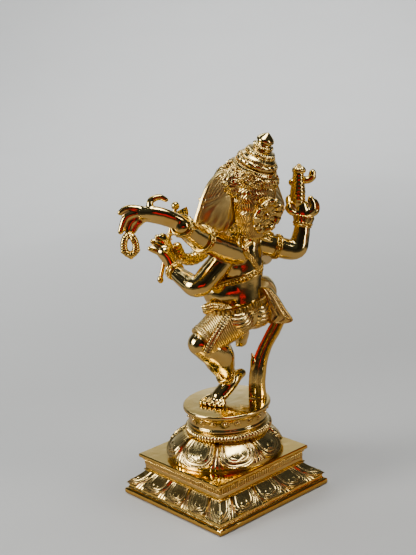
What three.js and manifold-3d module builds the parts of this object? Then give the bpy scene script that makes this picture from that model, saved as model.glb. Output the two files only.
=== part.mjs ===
// A brass dancing Ganesha on a tiered lotus base, modelled in millimetres with +Z up.
// The figure faces -Y, its left hand side is +X, and the origin is the centre of the base's underside.
// Every casting is its own named mesh. Each one gives way to those made before it, with a small joint gap.
import * as THREE from "three";
import { ConvexGeometry } from "three/addons/geometries/ConvexGeometry.js";
import { mergeVertices } from "three/addons/utils/BufferGeometryUtils.js";
import Module from "manifold-3d";

const wasm = await Module();
wasm.setup();

// Driving dimensions.
const BASE_SIDE = 90;
const JOINT_GAP = 0.3;
const WALL = 3.2;
const HALF = BASE_SIDE / 2;

// Heights of the tiers of the base, from the resting plane up.
const RIM_TOP = 3.6;
const PETAL_FOOT = 4.4;
const PETAL_TOP = 15.1;
const PLINTH_TOP = 23.6;
const CORNICE_TOP = 26.3;
const DOME_TOP = 40.4;
const BEADS_TOP = 46;
const DRUM_TOP = 58.3;

// Half sides and radii of the tiers.
const PETAL_HALF_LOW = 44;
const PETAL_HALF_HIGH = 36;
const PLINTH_HALF = 34.6;
const CORNICE_HALF = 37.1;
const DOME_RADIUS = 36;
const DRUM_RADIUS = 26.7;
const DRUM_CENTRE = new THREE.Vector2(-3.8, 3.3);

// Round counts: how many flats stand for a full turn.
const COARSE = 8;
const MEDIUM = 12;
const FINE = 28;

const at = (x, y, z) => new THREE.Vector3(x, y, z);

// The figure's skeleton: the points that its limbs, bands and ornaments hang on.
const bones = {
  pelvis: at(-15, 12, 115),
  waist: at(-17, 10, 130),
  chest: at(-16, 11.5, 143),
  shoulders: at(-19, 14, 152.5),
  neck: at(-21, 15, 160),
  head: at(-22, 11, 178),
  leftHip: at(-8, 11, 112),
  leftKnee: at(17, 4.5, 99.5),
  leftAnkle: at(-3.5, 5, 74.5),
  leftHeel: at(-15.5, 5.5, 73.5),
  leftBall: at(2, 3, 62),
  rightHip: at(-24, 11, 112),
  rightKnee: at(-51, -8, 117),
  rightAnkle: at(-33, -11, 95),
  rightToes: at(-35, -13.5, 85.5),
  rearLeftShoulder: at(-8, 15, 154),
  rearLeftElbow: at(22, 19.5, 169.5),
  rearLeftWrist: at(38, 27.5, 180),
  rearLeftKnuckles: at(52, 22, 187.5),
  frontLeftShoulder: at(-6, 10, 150),
  frontLeftElbow: at(15, 7.5, 134.5),
  frontLeftWrist: at(14, -14, 143),
  frontLeftKnuckles: at(15.5, -22, 153.5),
  rearRightShoulder: at(-28, 16, 155),
  rearRightElbow: at(-48, 29, 146),
  rearRightWrist: at(-53.5, 29, 163),
  rearRightKnuckles: at(-53.5, 27, 172),
  frontRightShoulder: at(-30, 12, 150),
  frontRightElbow: at(-50, -2, 138),
  frontRightWrist: at(-44, -21, 149),
  frontRightKnuckles: at(-43, -24, 158),
};

const polished = new THREE.MeshStandardMaterial({ color: 0xd9a84a, roughness: 0.16, metalness: 1 });
const chased = new THREE.MeshStandardMaterial({ color: 0xd39a5a, roughness: 0.34, metalness: 1 });

// A closed three.js geometry as a solid that can be cut and joined.
function solid(geometry) {
  const bare = geometry.clone();
  bare.deleteAttribute("normal");
  bare.deleteAttribute("uv");
  const merged = mergeVertices(bare, 1e-4);
  return new wasm.Manifold(
    new wasm.Mesh({
      numProp: 3,
      vertProperties: merged.attributes.position.array,
      triVerts: new Uint32Array(merged.index.array),
    }),
  );
}

const union = (...solids) => solids.reduce((sum, next) => sum.add(next));

// The solid together with a copy that stands one joint gap prouder on every side of its box.
function grown(body) {
  const { min, max } = body.boundingBox();
  const centre = min.map((low, i) => (low + max[i]) / 2);
  const factor = min.map((low, i) => 1 + (2 * JOINT_GAP) / (max[i] - low));
  const prouder = body
    .translate(centre.map((c) => -c))
    .scale(factor)
    .translate(centre);
  return body.add(prouder);
}

function boxesMeet(a, b) {
  const p = a.boundingBox();
  const q = b.boundingBox();
  return [0, 1, 2].every((i) => p.min[i] - JOINT_GAP < q.max[i] && q.min[i] < p.max[i] + JOINT_GAP);
}

const statue = new THREE.Group();
const placed = [];

// Adds one named casting, cut back from every casting that is already there.
function add(name, body, material = polished) {
  let kept = body;
  for (const earlier of placed) if (boxesMeet(kept, earlier)) kept = kept.subtract(grown(earlier));
  const pieces = kept.decompose().sort((a, b) => b.volume() - a.volume());
  kept = pieces[0];
  placed.push(kept);
  const made = kept.getMesh();
  const geometry = new THREE.BufferGeometry();
  geometry.setAttribute("position", new THREE.BufferAttribute(new Float32Array(made.vertProperties), 3));
  geometry.setIndex(new THREE.BufferAttribute(new Uint32Array(made.triVerts), 1));
  geometry.computeVertexNormals();
  const mesh = new THREE.Mesh(geometry, material);
  mesh.name = name;
  statue.add(mesh);
}

// Turns a geometry whose length runs along +Y so that it runs from a to b, centred between them.
function along(geometry, a, b) {
  const direction = b.clone().sub(a).normalize();
  const turn = new THREE.Quaternion().setFromUnitVectors(at(0, 1, 0), direction);
  geometry.applyQuaternion(turn);
  const middle = a.clone().add(b).multiplyScalar(0.5);
  return geometry.translate(middle.x, middle.y, middle.z);
}

function ball(centre, rx, ry = rx, rz = rx, flats = MEDIUM) {
  const geometry = new THREE.SphereGeometry(1, flats, Math.round(flats * 0.6));
  geometry.rotateX(Math.PI / 2).scale(rx, ry, rz);
  return solid(geometry.translate(centre.x, centre.y, centre.z));
}

// A straight tapered limb with a round section.
function limb(a, b, radiusA, radiusB, flats = COARSE) {
  const geometry = new THREE.CylinderGeometry(radiusB, radiusA, a.distanceTo(b), flats, 1);
  return solid(along(geometry, a, b));
}

// The corner points of a low sphere.
function spherePoints(centre, radius, flats) {
  const geometry = new THREE.SphereGeometry(radius, flats, Math.round(flats * 0.5) + 1);
  const corners = geometry.attributes.position;
  return Array.from({ length: corners.count }, (_, i) => {
    const corner = at(0, 0, 0).fromBufferAttribute(corners, i);
    return corner.add(centre);
  });
}

// A tapered limb with round ends: the skin stretched over the two spheres at its ends.
function roundLimb(a, b, radiusA, radiusB, flats = COARSE) {
  return solid(new ConvexGeometry([...spherePoints(a, radiusA, flats), ...spherePoints(b, radiusB, flats)]));
}

// A chain of tapered limbs through several points.
function chain(points, radii, flats = COARSE) {
  const links = points.slice(1).map((p, i) => roundLimb(points[i], p, radii[i], radii[i + 1], flats));
  return union(...links);
}

// A round bar of one thickness along a smooth path.
function bar(points, radius, sides = 6, steps = 4) {
  const corners = Array.from({ length: sides }, (_, i) => {
    const turn = (i * 2 * Math.PI) / sides;
    return new THREE.Vector2(radius * Math.cos(turn), radius * Math.sin(turn));
  });
  const extrudePath = new THREE.CatmullRomCurve3(points);
  const section = new THREE.Shape(corners);
  return solid(new THREE.ExtrudeGeometry(section, { steps, extrudePath, bevelEnabled: false }));
}

// A ring of round wire round the line from a to b, a share of the way along it.
function ring(a, b, share, radius, wire, flats = MEDIUM) {
  const centre = a.clone().lerp(b, share);
  const direction = b.clone().sub(a).normalize();
  const geometry = new THREE.TorusGeometry(radius, wire, 5, flats);
  geometry.applyQuaternion(new THREE.Quaternion().setFromUnitVectors(at(0, 0, 1), direction));
  return solid(geometry.translate(centre.x, centre.y, centre.z));
}

function lathe(profile, centre, flats = FINE) {
  const points = profile.map(([r, z]) => new THREE.Vector2(r, z));
  const geometry = new THREE.LatheGeometry(points, flats).rotateX(Math.PI / 2);
  return solid(geometry.translate(centre.x, centre.y, 0));
}

// A square frustum between two heights, centred on the origin.
function frustum(halfLow, halfHigh, low, high) {
  const root2 = Math.SQRT2;
  const geometry = new THREE.CylinderGeometry(halfHigh * root2, halfLow * root2, high - low, 4, 1);
  geometry.rotateY(Math.PI / 4).rotateX(Math.PI / 2);
  return solid(geometry.translate(0, 0, (low + high) / 2));
}

// A flat plate: an outline drawn in the plane of the unit vectors u and v about a centre, with a thickness.
function plate(outline, centre, u, v, thickness, curved = true) {
  const points = outline.map(([a, b]) => new THREE.Vector2(a, b));
  const rounded = new THREE.SplineCurve([...points, points[0]]).getPoints(28).slice(0, -1);
  const shape = new THREE.Shape(curved ? rounded : points);
  const geometry = new THREE.ExtrudeGeometry(shape, { depth: thickness, bevelEnabled: false });
  geometry.translate(0, 0, -thickness / 2);
  const normal = u.clone().cross(v);
  geometry.applyMatrix4(new THREE.Matrix4().makeBasis(u, v, normal).setPosition(centre));
  return solid(geometry);
}

// A ribbon of rectangular section along a smooth path.
function ribbon(points, width, thickness, steps = 12) {
  const section = new THREE.Shape([
    new THREE.Vector2(-thickness / 2, -width / 2),
    new THREE.Vector2(thickness / 2, -width / 2),
    new THREE.Vector2(thickness / 2, width / 2),
    new THREE.Vector2(-thickness / 2, width / 2),
  ]);
  const path = new THREE.CatmullRomCurve3(points);
  return solid(new THREE.ExtrudeGeometry(section, { steps, extrudePath: path, bevelEnabled: false }));
}

// The base: a hollow square casting in tiers, open underneath, then the lotus dome and the drum.
function base() {
  const cavity = frustum(HALF - WALL, HALF - WALL, -1, RIM_TOP + 1);
  add("base_rim", frustum(HALF, HALF, 0, RIM_TOP).subtract(cavity));
  const tierWall = WALL * 2;
  const tierHollow = frustum(PETAL_HALF_LOW - tierWall, PETAL_HALF_HIGH - tierWall, PETAL_FOOT - 1, PETAL_TOP + 1);
  const tierBlock = frustum(PETAL_HALF_LOW, PETAL_HALF_HIGH, RIM_TOP + JOINT_GAP, PETAL_TOP);
  add("petal_tier", tierBlock.subtract(tierHollow));
  const hollowHalf = PLINTH_HALF - WALL * 1.8;
  const plinthHollow = frustum(hollowHalf, hollowHalf, PETAL_TOP - 1, PLINTH_TOP + 1);
  const plinthBlock = frustum(PLINTH_HALF, PLINTH_HALF, PETAL_TOP + JOINT_GAP, PLINTH_TOP);
  add("upper_plinth", plinthBlock.subtract(plinthHollow));
  add("cornice_plate", frustum(CORNICE_HALF - 1, CORNICE_HALF, PLINTH_TOP + JOINT_GAP, CORNICE_TOP));
  const foot = CORNICE_TOP + JOINT_GAP;
  const dome = [
    [0, foot],
    [DOME_RADIUS - 1.8, foot],
    [DOME_RADIUS, foot + 2],
    [DOME_RADIUS - 0.6, foot + 4.6],
    [DOME_RADIUS - 3.2, foot + 8],
    [DOME_RADIUS - 6.6, foot + 11],
    [DOME_RADIUS - 9.8, DOME_TOP],
    [0, DOME_TOP],
  ];
  const axis = new THREE.Vector2(DRUM_CENTRE.x / 3, DRUM_CENTRE.y / 3);
  add("lotus_dome", lathe(dome, axis));
  const beadFoot = DOME_TOP + JOINT_GAP;
  const beads = [
    [0, beadFoot],
    [DRUM_RADIUS - 1.7, beadFoot],
    [DRUM_RADIUS - 0.3, beadFoot + 1.6],
    [DRUM_RADIUS - 0.3, beadFoot + 3.6],
    [DRUM_RADIUS - 1.9, BEADS_TOP],
    [0, BEADS_TOP],
  ];
  add("bead_ring", lathe(beads, DRUM_CENTRE), chased);
  const drumFoot = BEADS_TOP + JOINT_GAP;
  const drum = [
    [0, drumFoot],
    [DRUM_RADIUS - 2.6, drumFoot],
    [DRUM_RADIUS - 2.6, drumFoot + 4],
    [DRUM_RADIUS - 1.7, drumFoot + 4.8],
    [DRUM_RADIUS, DRUM_TOP - 0.8],
    [DRUM_RADIUS - 0.6, DRUM_TOP],
    [0, DRUM_TOP],
  ];
  const sockets = union(...pegs(JOINT_GAP));
  add("pedestal_drum", lathe(drum, DRUM_CENTRE).subtract(sockets));
}

const PEG_RADIUS = 2;
const PEG_DEPTH = 7;
const STRUT_FOOT = at(-18.6, 15.7, DRUM_TOP);

// The two tenons under the standing foot and the sash strut, let into the drum.
function pegs(play = 0) {
  return [bones.leftBall, STRUT_FOOT].map((spot) => {
    const low = at(spot.x, spot.y, DRUM_TOP - PEG_DEPTH - play);
    const high = at(spot.x, spot.y, DRUM_TOP + play);
    return limb(low, high, PEG_RADIUS + play, PEG_RADIUS + play, COARSE);
  });
}

// The trunk of the body: hips, round belly and chest, and the broad back that the arms spring from.
function torso() {
  const b = bones;
  const hips = union(
    ball(b.pelvis, 14, 11, 9),
    ball(b.leftHip.clone().add(at(-1, 1, 0)), 9.5, 9, 9, MEDIUM),
    ball(b.rightHip.clone().add(at(1, 1, 0)), 9.5, 9, 9, MEDIUM),
  );
  const trunk = union(
    ball(at(-15.5, 2.5, 127), 18, 17.5, 14.5),
    limb(b.waist.clone().add(at(0, 0, -6)), b.shoulders, 11.5, 11.5, MEDIUM),
    ball(b.chest, 14.5, 10.5, 11),
    limb(b.rearLeftShoulder, b.rearRightShoulder, 6.6, 6.6, MEDIUM),
    limb(b.frontLeftShoulder, b.frontRightShoulder, 7, 7, MEDIUM),
    limb(b.shoulders, b.neck, 8, 7, MEDIUM),
  );
  add("torso", trunk);
  add("hips", hips, chased);
}

// The arms, each as upper arm, forearm and bangle, with a hand of palm, fingers and thumb.
function arm(side, radii) {
  const parts = ["Shoulder", "Elbow", "Wrist", "Knuckles"];
  const [shoulder, elbow, wrist, knuckles] = parts.map((part) => bones[side + part]);
  const label = side.replace(/[A-Z]/g, (letter) => "_" + letter.toLowerCase());
  const [top, bend, narrow] = radii;
  add(label + "_upper_arm", union(limb(shoulder, elbow, top, bend, MEDIUM), ball(elbow, bend, bend, bend)));
  add(label + "_forearm", limb(elbow, wrist, bend, narrow, MEDIUM));
  add(label + "_bangle", ring(elbow, wrist, 0.97, narrow + 1.7, 1.1), chased);
  return { label, wrist, knuckles, narrow };
}

// A hand: its palm runs from wrist to knuckles, and each finger is a list of steps from the knuckles.
function hand({ label, wrist, knuckles, narrow }, across, fingers) {
  const palm = roundLimb(wrist, knuckles, narrow * 0.92, narrow * 0.95, 6);
  const made = fingers.map(({ shift, steps, radius = 1.4 }) => {
    const root = knuckles.clone().addScaledVector(across, shift);
    const points = [wrist.clone().lerp(root, 0.7), root];
    for (const step of steps) points.push(points[points.length - 1].clone().add(step));
    return bar(points, radius);
  });
  add(label + "_hand", union(palm, ...made));
}

function arms() {
  const b = bones;
  const rearLeft = arm("rearLeft", [6.2, 5.2, 3.9]);
  add("rear_left_armlet", ring(b.rearLeftShoulder, b.rearLeftElbow, 0.84, 6.9, 1.2), chased);
  hand(rearLeft, at(0.25, 0.93, 0.1), [
    { shift: 3, steps: [at(9, -7, -2), at(5, -6, -6)] },
    { shift: 0.8, steps: [at(8, -5, 0), at(4, -5, -3)] },
    { shift: -1.4, steps: [at(6, -5, 3), at(5, -5, 0)] },
    { shift: -3.4, steps: [at(1, -3, 5), at(-4, -1, 5)] },
  ]);
  const frontLeft = arm("frontLeft", [7.2, 6, 3.7]);
  hand(frontLeft, at(0.95, 0.3, 0), [
    { shift: 3.4, steps: [at(0.5, -3.4, 1), at(0, 0.5, 4)] },
    { shift: 1.2, steps: [at(0.3, -4, 1.6), at(0, 0.5, 4.4)] },
    { shift: -1.2, steps: [at(-0.3, -4, 1.4), at(0, 0.5, 4.2)] },
    { shift: -3.4, steps: [at(-0.6, -3.2, 0.8), at(0, 0.5, 3.8)] },
  ]);
  const rearRight = arm("rearRight", [6.2, 5.6, 3.7]);
  add("rear_right_armlet", ring(b.rearRightShoulder, b.rearRightElbow, 0.46, 7.4, 1.1), chased);
  hand(rearRight, at(-0.75, 0.66, 0), [
    { shift: 3.4, steps: [at(-4, 3, 3), at(-1.5, 1.5, 4)] },
    { shift: 1.2, steps: [at(-1, -1, 4), at(0.6, -2, 3.4)] },
    { shift: -3.2, steps: [at(2.6, -1.6, 1.5), at(1.4, -1, 3.5)] },
  ]);
  const frontRight = arm("frontRight", [7.2, 6, 3.7]);
  hand(frontRight, at(0.95, 0.2, 0), [
    { shift: 3.4, steps: [at(0.8, -1, 5), at(0.3, -1.2, 4)] },
    { shift: 1.2, steps: [at(0.3, -1, 6), at(0.1, -1.2, 4.5)] },
    { shift: -1.2, steps: [at(-0.2, -1, 5.8), at(-0.1, -1.2, 4.2)] },
    { shift: -3.4, steps: [at(-0.6, -1, 5), at(-0.3, -1.2, 3.6)] },
  ]);
}

// The legs: the left one stands on its toes, the right one is lifted with its foot hanging.
function legs() {
  const b = bones;
  add("standing_thigh", union(limb(b.leftHip, b.leftKnee, 11.5, 8, MEDIUM), ball(b.leftKnee, 7.6)), chased);
  add("standing_shin", limb(b.leftKnee, b.leftAnkle, 7.4, 4.6, MEDIUM));
  add("standing_anklet", ring(b.leftKnee, b.leftAnkle, 0.98, 6.3, 1.2), chased);
  add("left_foot_peg", pegs()[0]);
  const sole = DRUM_TOP + JOINT_GAP;
  const toes = [-5.2, -2.4, 0.4, 3.2, 6].map((shift, i) => {
    const tip = at(9.4 - i * 0.9, b.leftBall.y + shift * 1.25, sole + 1.5);
    const root = b.leftBall.clone().add(at(-2, shift * 0.8, 0));
    const knuckle = b.leftBall.clone().add(at(2, shift, -1));
    return bar([root, knuckle, tip], 1.5, 6, 3);
  });
  const foot = union(
    chain([b.leftHeel, b.leftAnkle.clone().add(at(3, 0, -3)), b.leftBall], [4.2, 4.8, 3.8], COARSE),
    limb(at(b.leftBall.x, b.leftBall.y, sole), b.leftBall, 5, 4.4, COARSE),
    ...toes,
  );
  const ground = frustum(HALF, HALF, DRUM_TOP - 20, sole);
  add("standing_foot", foot.subtract(ground));
  add("raised_thigh", union(limb(b.rightHip, b.rightKnee, 11.5, 8.2, MEDIUM), ball(b.rightKnee, 7.8)), chased);
  add("raised_shin", limb(b.rightKnee, b.rightAnkle, 7.2, 4.3, MEDIUM));
  add("raised_anklet", ring(b.rightKnee, b.rightAnkle, 0.94, 6, 1.2), chased);
  const raisedFoot = union(
    chain([b.rightAnkle, b.rightAnkle.clone().add(at(0, 2.6, -3)), b.rightToes], [4, 4, 3], COARSE),
    chain([b.rightToes, b.rightToes.clone().add(at(-1, -0.6, -3))], [2.8, 1.8], 6),
  );
  add("raised_foot", raisedFoot);
}

// The elephant head with its trunk, ears and tusks. Its back leans down, so the crown tips backwards.
const LEAN = THREE.MathUtils.degToRad(24);
const headUp = at(-0.19, Math.sin(LEAN), Math.cos(LEAN)).normalize();
const headLeft = at(1, 0.04, 0.1).normalize();
const headFront = headUp.clone().cross(headLeft).normalize().negate();
function onHead(left, front, up) {
  const point = bones.head.clone();
  point.addScaledVector(headLeft, left);
  point.addScaledVector(headFront, front);
  return point.addScaledVector(headUp, up);
}

function head() {
  const skull = union(
    ball(onHead(0, 0, 0), 13, 13, 13.5),
    ball(onHead(0, 5, 3), 11, 11, 11),
    limb(bones.neck, onHead(0, -1, -4), 7.4, 9.5, MEDIUM),
  );
  add("head", skull);
  const trunkPath = [
    onHead(0, 13, -3),
    onHead(0, 20, -11),
    onHead(1, 22, -21),
    at(-14, -17, 151),
    at(-6, -18, 144.5),
    at(3, -18.5, 147),
    at(6, -19, 155),
  ];
  add("trunk", chain(trunkPath, [7.6, 6.4, 5.6, 4.8, 4.1, 3.4, 2.8], 8));
  const whole = [onHead(6.5, 12, -7), onHead(9, 19, -10), onHead(10, 24, -8)];
  add("left_tusk", chain(whole, [2, 1.6, 0.9], 6));
  const broken = [onHead(-6.5, 12, -7), onHead(-8.5, 18, -9.6)];
  add("right_tusk", chain(broken, [2, 1.8], 6));
  for (const [name, side] of [["left_ear", 1], ["right_ear", -1]]) {
    const outward = at(0.965 * side, -0.25, 0.04).normalize();
    const upward = at(0, 0, 1).addScaledVector(outward, -0.04).normalize();
    const root = onHead(9.5 * side, 1.5, 5);
    const outline = [
      [0, 11],
      [8, 13.5],
      [14, 8],
      [20, -2],
      [25.5, -12],
      [24, -18],
      [16, -22.5],
      [7, -22],
      [0, -12],
    ];
    add(name, plate(outline, root, outward, upward, 3), chased);
  }
}

// The stepped crown with its bud, and the wheel behind the head.
function crown() {
  const foot = onHead(0, 1.5, 9.5);
  const tiers = [
    [0, 0],
    [14.6, 0],
    [15.6, 3],
    [15, 8],
    [13.4, 11],
    [13.6, 13],
    [11.6, 16],
    [11.8, 19],
    [9.4, 21.6],
    [9.6, 24],
    [6.8, 26.6],
    [5.4, 28.4],
    [0, 28.4],
  ];
  const place = (geometry) => {
    geometry.applyQuaternion(new THREE.Quaternion().setFromUnitVectors(at(0, 1, 0), headUp));
    return solid(geometry.translate(foot.x, foot.y, foot.z));
  };
  const turned = (profile, flats) =>
    place(new THREE.LatheGeometry(profile.map(([r, z]) => new THREE.Vector2(r, z)), flats));
  const cap = ball(onHead(0, 9, 11.5), 15.5, 11.5, 11);
  add("crown", union(turned(tiers, 18), cap), chased);
  const bud = [[0, 28.4], [4.2, 28.6], [5.4, 30.8], [4.6, 33.2], [2.2, 36], [0, 37.4]];
  add("crown_bud", turned(bud, 12));
  const facing = headFront.clone().negate().addScaledVector(headUp, -0.05).normalize();
  const hub = onHead(-1, -17.4, 3.6);
  const back = hub.clone().addScaledVector(facing, -1.4);
  const front = hub.clone().addScaledVector(facing, 1.4);
  add("wheel_stem", limb(onHead(-1, -9, 2), back, 2.6, 2.6, 8));
  add("halo_wheel", limb(back, front, 10, 10.4, 24), chased);
  add("wheel_boss", roundLimb(front, front.clone().addScaledVector(facing, 1.6), 2.2, 1.4, 8));
}

// Bands, collar and sacred thread: rings that sit on the body.
function bands() {
  const b = bones;
  const oval = (centre, rx, ry, wire, tilt) => {
    const geometry = new THREE.TorusGeometry(1, 0.07, 5, FINE);
    const scaled = geometry.scale(rx, ry, wire / 0.07);
    scaled.rotateY(tilt.y).rotateX(tilt.x);
    return solid(scaled.translate(centre.x, centre.y, centre.z));
  };
  add("waist_band", oval(at(-15.8, 4.7, 134), 16.7, 17.4, 1.6, { x: 0, y: 0.08 }), chased);
  add("hip_belt", oval(at(-15.8, 6.6, 118), 18.2, 17.2, 2, { x: 0.06, y: 0.08 }), chased);
  add("collar", oval(b.neck.clone().add(at(0.4, -0.5, 1)), 9.6, 9.4, 1.3, { x: 0.2, y: 0.05 }), chased);
}

// What the hands hold, and the sash that props the figure from behind.
function attributes() {
  const b = bones;
  const loop = new THREE.TorusGeometry(5.6, 1.25, 5, 12).scale(0.62, 1, 1).rotateX(Math.PI / 2).rotateZ(-0.7);
  const noose = solid(loop.translate(63.5, 12, 173.2));
  add("noose", noose, chased);
  const axeFoot = at(17, -24, 136.5);
  const axeTop = at(1.5, -22.5, 178.5);
  add("axe_shaft", chain([axeFoot, axeTop], [1.6, 1.3], 8));
  const up = axeTop.clone().sub(axeFoot).normalize();
  const side = at(-0.75, 0.66, 0);
  const bladeNormal = side.clone().addScaledVector(up, -side.dot(up)).normalize();
  const blade = [[0, -4], [7, -5.5], [8.5, 0], [7, 5.5], [0, 4]];
  add("axe_blade", plate(blade, axeTop.clone().addScaledVector(up, -6), bladeNormal, up, 2, false));
  const goadFoot = b.rearRightKnuckles.clone().add(at(-0.5, 0, 3));
  const goadTop = at(-53, 26, 194);
  add("goad", union(
    chain([goadFoot, goadTop], [2.4, 3.4], 8),
    chain([goadTop.clone().add(at(0, 0, -4)), at(-58, 31, 190), at(-58.5, 31.5, 183)], [1.4, 1.4, 1.2], 6),
  ));
  add("broken_tusk", chain([at(-46, -28, 150), at(-40, -29, 157)], [1.4, 2], 6));
  const flare = [[0, 9], [4, 7], [14, -5], [14.5, -7.5], [9, -9], [2, -8], [-2, 0]];
  add("sash_flare", plate(flare, at(-27, 21, 113), at(-0.72, 0.66, 0), at(0, 0, 1), 4.5, false), chased);
  add("strut_peg", pegs()[1]);
  const strutFoot = STRUT_FOOT.clone().add(at(0, 0, JOINT_GAP + 0.2));
  const strutPath = [
    strutFoot,
    at(-18.6, 16.1, 69),
    at(-20.6, 16.8, 79),
    at(-25.4, 17.8, 89),
    at(-34.4, 21, 102.3),
  ];
  add("sash_strut", ribbon(strutPath, 8.5, 4.2), chased);
  const sashPath = [at(2, 17.5, 117), at(9, 16.5, 111), at(15.5, 13, 101.5), at(18.5, 10, 95)];
  add("thigh_sash", ribbon(sashPath, 6, 2, 8), chased);
}

base();
torso();
bands();
legs();
arms();
head();
crown();
attributes();

// The group is moved so that the middle of its whole box stands over the origin.
const bounds = new THREE.Box3().setFromObject(statue);
const middle = bounds.getCenter(at(0, 0, 0));
statue.position.set(-middle.x, -middle.y, 0);

export default statue;
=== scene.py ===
"""Builds a cast brass dancing figure on its lotus base as a Blender add-on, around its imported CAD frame."""

import math

import bpy
import numpy as np
from mathutils import Matrix, Vector
from mathutils.bvhtree import BVHTree


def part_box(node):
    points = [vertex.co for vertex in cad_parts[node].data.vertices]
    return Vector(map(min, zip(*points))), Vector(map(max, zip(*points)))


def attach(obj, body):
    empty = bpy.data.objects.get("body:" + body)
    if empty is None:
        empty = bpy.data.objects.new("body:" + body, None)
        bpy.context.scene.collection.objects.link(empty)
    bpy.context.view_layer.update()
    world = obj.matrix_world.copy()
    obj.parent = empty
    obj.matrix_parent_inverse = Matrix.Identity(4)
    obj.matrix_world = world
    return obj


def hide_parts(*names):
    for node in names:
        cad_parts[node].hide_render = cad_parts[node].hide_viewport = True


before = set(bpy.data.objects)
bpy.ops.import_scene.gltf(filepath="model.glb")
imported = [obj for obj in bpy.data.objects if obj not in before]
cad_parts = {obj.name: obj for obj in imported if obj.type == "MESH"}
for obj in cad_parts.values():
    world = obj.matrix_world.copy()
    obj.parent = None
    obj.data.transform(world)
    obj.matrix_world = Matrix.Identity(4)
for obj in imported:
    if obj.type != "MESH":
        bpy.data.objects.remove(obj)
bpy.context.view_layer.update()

bl_info = {
    "name": "Brass dancing figure",
    "version": (1, 0, 0),
    "blender": (4, 5, 0),
    "location": "3D View > Sidebar > Statue",
    "description": "Builds a cast brass figure on a lotus base, and a small studio around it",
    "category": "Object",
}

MM = 0.001
CAP_STEPS = 4  # rings in each domed end of a tube
SECTION_STEPS = 14  # corners of a ring band's round section
CORD_STEPS = 12  # corners of a cord's round section
FULL_GROOVE = 0.25  # depth in mm at which a groove counts as full
RAY_GAP = 0.05  # mm stepped past a skin before the next ray is cast


# ---------------------------------------------------------------- places taken from the CAD frame, in mm


def corners(node):
    """Every corner of a CAD node's mesh."""
    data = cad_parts[node].data
    flat = np.empty(len(data.vertices) * 3, np.float32)
    data.vertices.foreach_get("co", flat)
    return flat.reshape(-1, 3).astype(float) / MM


def centre(node):
    """The middle of a CAD node's box."""
    low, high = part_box(node)
    return (np.array(low) + np.array(high)) / 2 / MM


def unit(v):
    """The same direction with length 1."""
    v = np.asarray(v, float)
    return v / np.linalg.norm(v)


def section_middle(node, point, direction):
    """The middle of the cut through a node at a point, square to a direction."""
    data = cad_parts[node].data
    pairs = np.empty(len(data.edges) * 2, np.int32)
    data.edges.foreach_get("vertices", pairs)
    points = corners(node)
    a, b = points[pairs[0::2]], points[pairs[1::2]]
    da, db = (a - point) @ direction, (b - point) @ direction
    cut = (da * db) < 0
    share = (da[cut] / (da[cut] - db[cut]))[:, None]
    hits = a[cut] + (b[cut] - a[cut]) * share
    side = unit(np.cross(direction, [0.31, 0.57, 0.76]))
    other = np.cross(direction, side)
    spans = [(hits - point) @ s for s in (side, other)]
    mids = [(s.max() + s.min()) / 2 for s in spans]
    return point + side * mids[0] + other * mids[1]


def axis_line(node, near):
    """The two ends of a limb's centre line, the first being the one nearer to the point `near`."""
    points = corners(node)
    middle = points.mean(0)
    direction = np.linalg.svd(points - middle, full_matrices=False)[2][0]
    for _ in range(3):
        t = (points - middle) @ direction
        low, high = t.min(), t.max()
        c1 = section_middle(node, middle + direction * (low + 0.35 * (high - low)), direction)
        c2 = section_middle(node, middle + direction * (low + 0.7 * (high - low)), direction)
        middle, direction = c1, unit(c2 - c1)
    t = (points - middle) @ direction
    ends = [middle + direction * t.min(), middle + direction * t.max()]
    ends.sort(key=lambda p: np.linalg.norm(p - near))
    return ends


def meeting(first, second):
    """The point midway between two lines where they pass closest."""
    p, q = first[0], second[0]
    d, e = unit(first[1] - first[0]), unit(second[1] - second[0])
    across = np.cross(d, e)
    t, s, _ = np.linalg.solve(np.stack([d, -e, across], 1), q - p)
    return (p + d * t + q + e * s) / 2


ORIGIN = centre("base_rim") * [1, 1, 0]
TORSO = centre("torso")
HEAD = ORIGIN + [-22, 11, 178]
CROWN_UP = unit([-0.19, 0.4067, 0.9135])


def spot(x, y, z):
    """A point given in mm from the middle of the base's underside."""
    return ORIGIN + [x, y, z]


HIPS = {"standing": spot(-8, 11, 112), "raised": spot(-24, 11, 112)}
KNEE_LIFT = {"standing": 3.0, "raised": 0.0}
BACK_LEFT = unit([-0.75, 0.66, 0])
FLARE_ROOT = spot(-27, 21, 113)
SQUARE_CORNERS = np.array([[1, -1], [1, 1], [-1, 1], [-1, -1], [1, -1]], float)


# ---------------------------------------------------------------- surfaces made with numpy, in mm


def ring_surface(points, closed_rows=False):
    """Quads over rows of points, each row a closed ring. Open ends get a fan to the row's middle."""
    rows, cols = points.shape[:2]
    i = np.arange(rows if closed_rows else rows - 1)[:, None]
    j = np.arange(cols)[None, :]
    after_i, after_j = (i + 1) % rows, (j + 1) % cols
    quads = np.stack([i * cols + j, i * cols + after_j, after_i * cols + after_j, after_i * cols + j], -1)
    vertices = points.reshape(-1, 3)
    tris = np.zeros((0, 3), int)
    if not closed_rows:
        count, k = rows * cols, np.arange(cols)
        vertices = np.vstack([vertices, points[0].mean(0), points[-1].mean(0)])
        first = np.stack([np.full(cols, count), (k + 1) % cols, k], -1)
        last = np.stack([np.full(cols, count + 1), count - cols + k, count - cols + (k + 1) % cols], -1)
        tris = np.vstack([first, last])
    return facing_out((vertices, quads.reshape(-1, 4), tris))


def facing_out(surface):
    """The surface with its faces turned outwards, told by the sign of the volume inside it."""
    v, quads, tris = surface
    halves = np.vstack([quads[:, [0, 1, 2]], quads[:, [0, 2, 3]], tris])
    middle = v.mean(0)
    a, b, c = (v[halves[:, k]] - middle for k in range(3))
    if (np.cross(a, b) * c).sum() < 0:
        return v, quads[:, ::-1], tris[:, ::-1]
    return surface


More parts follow.
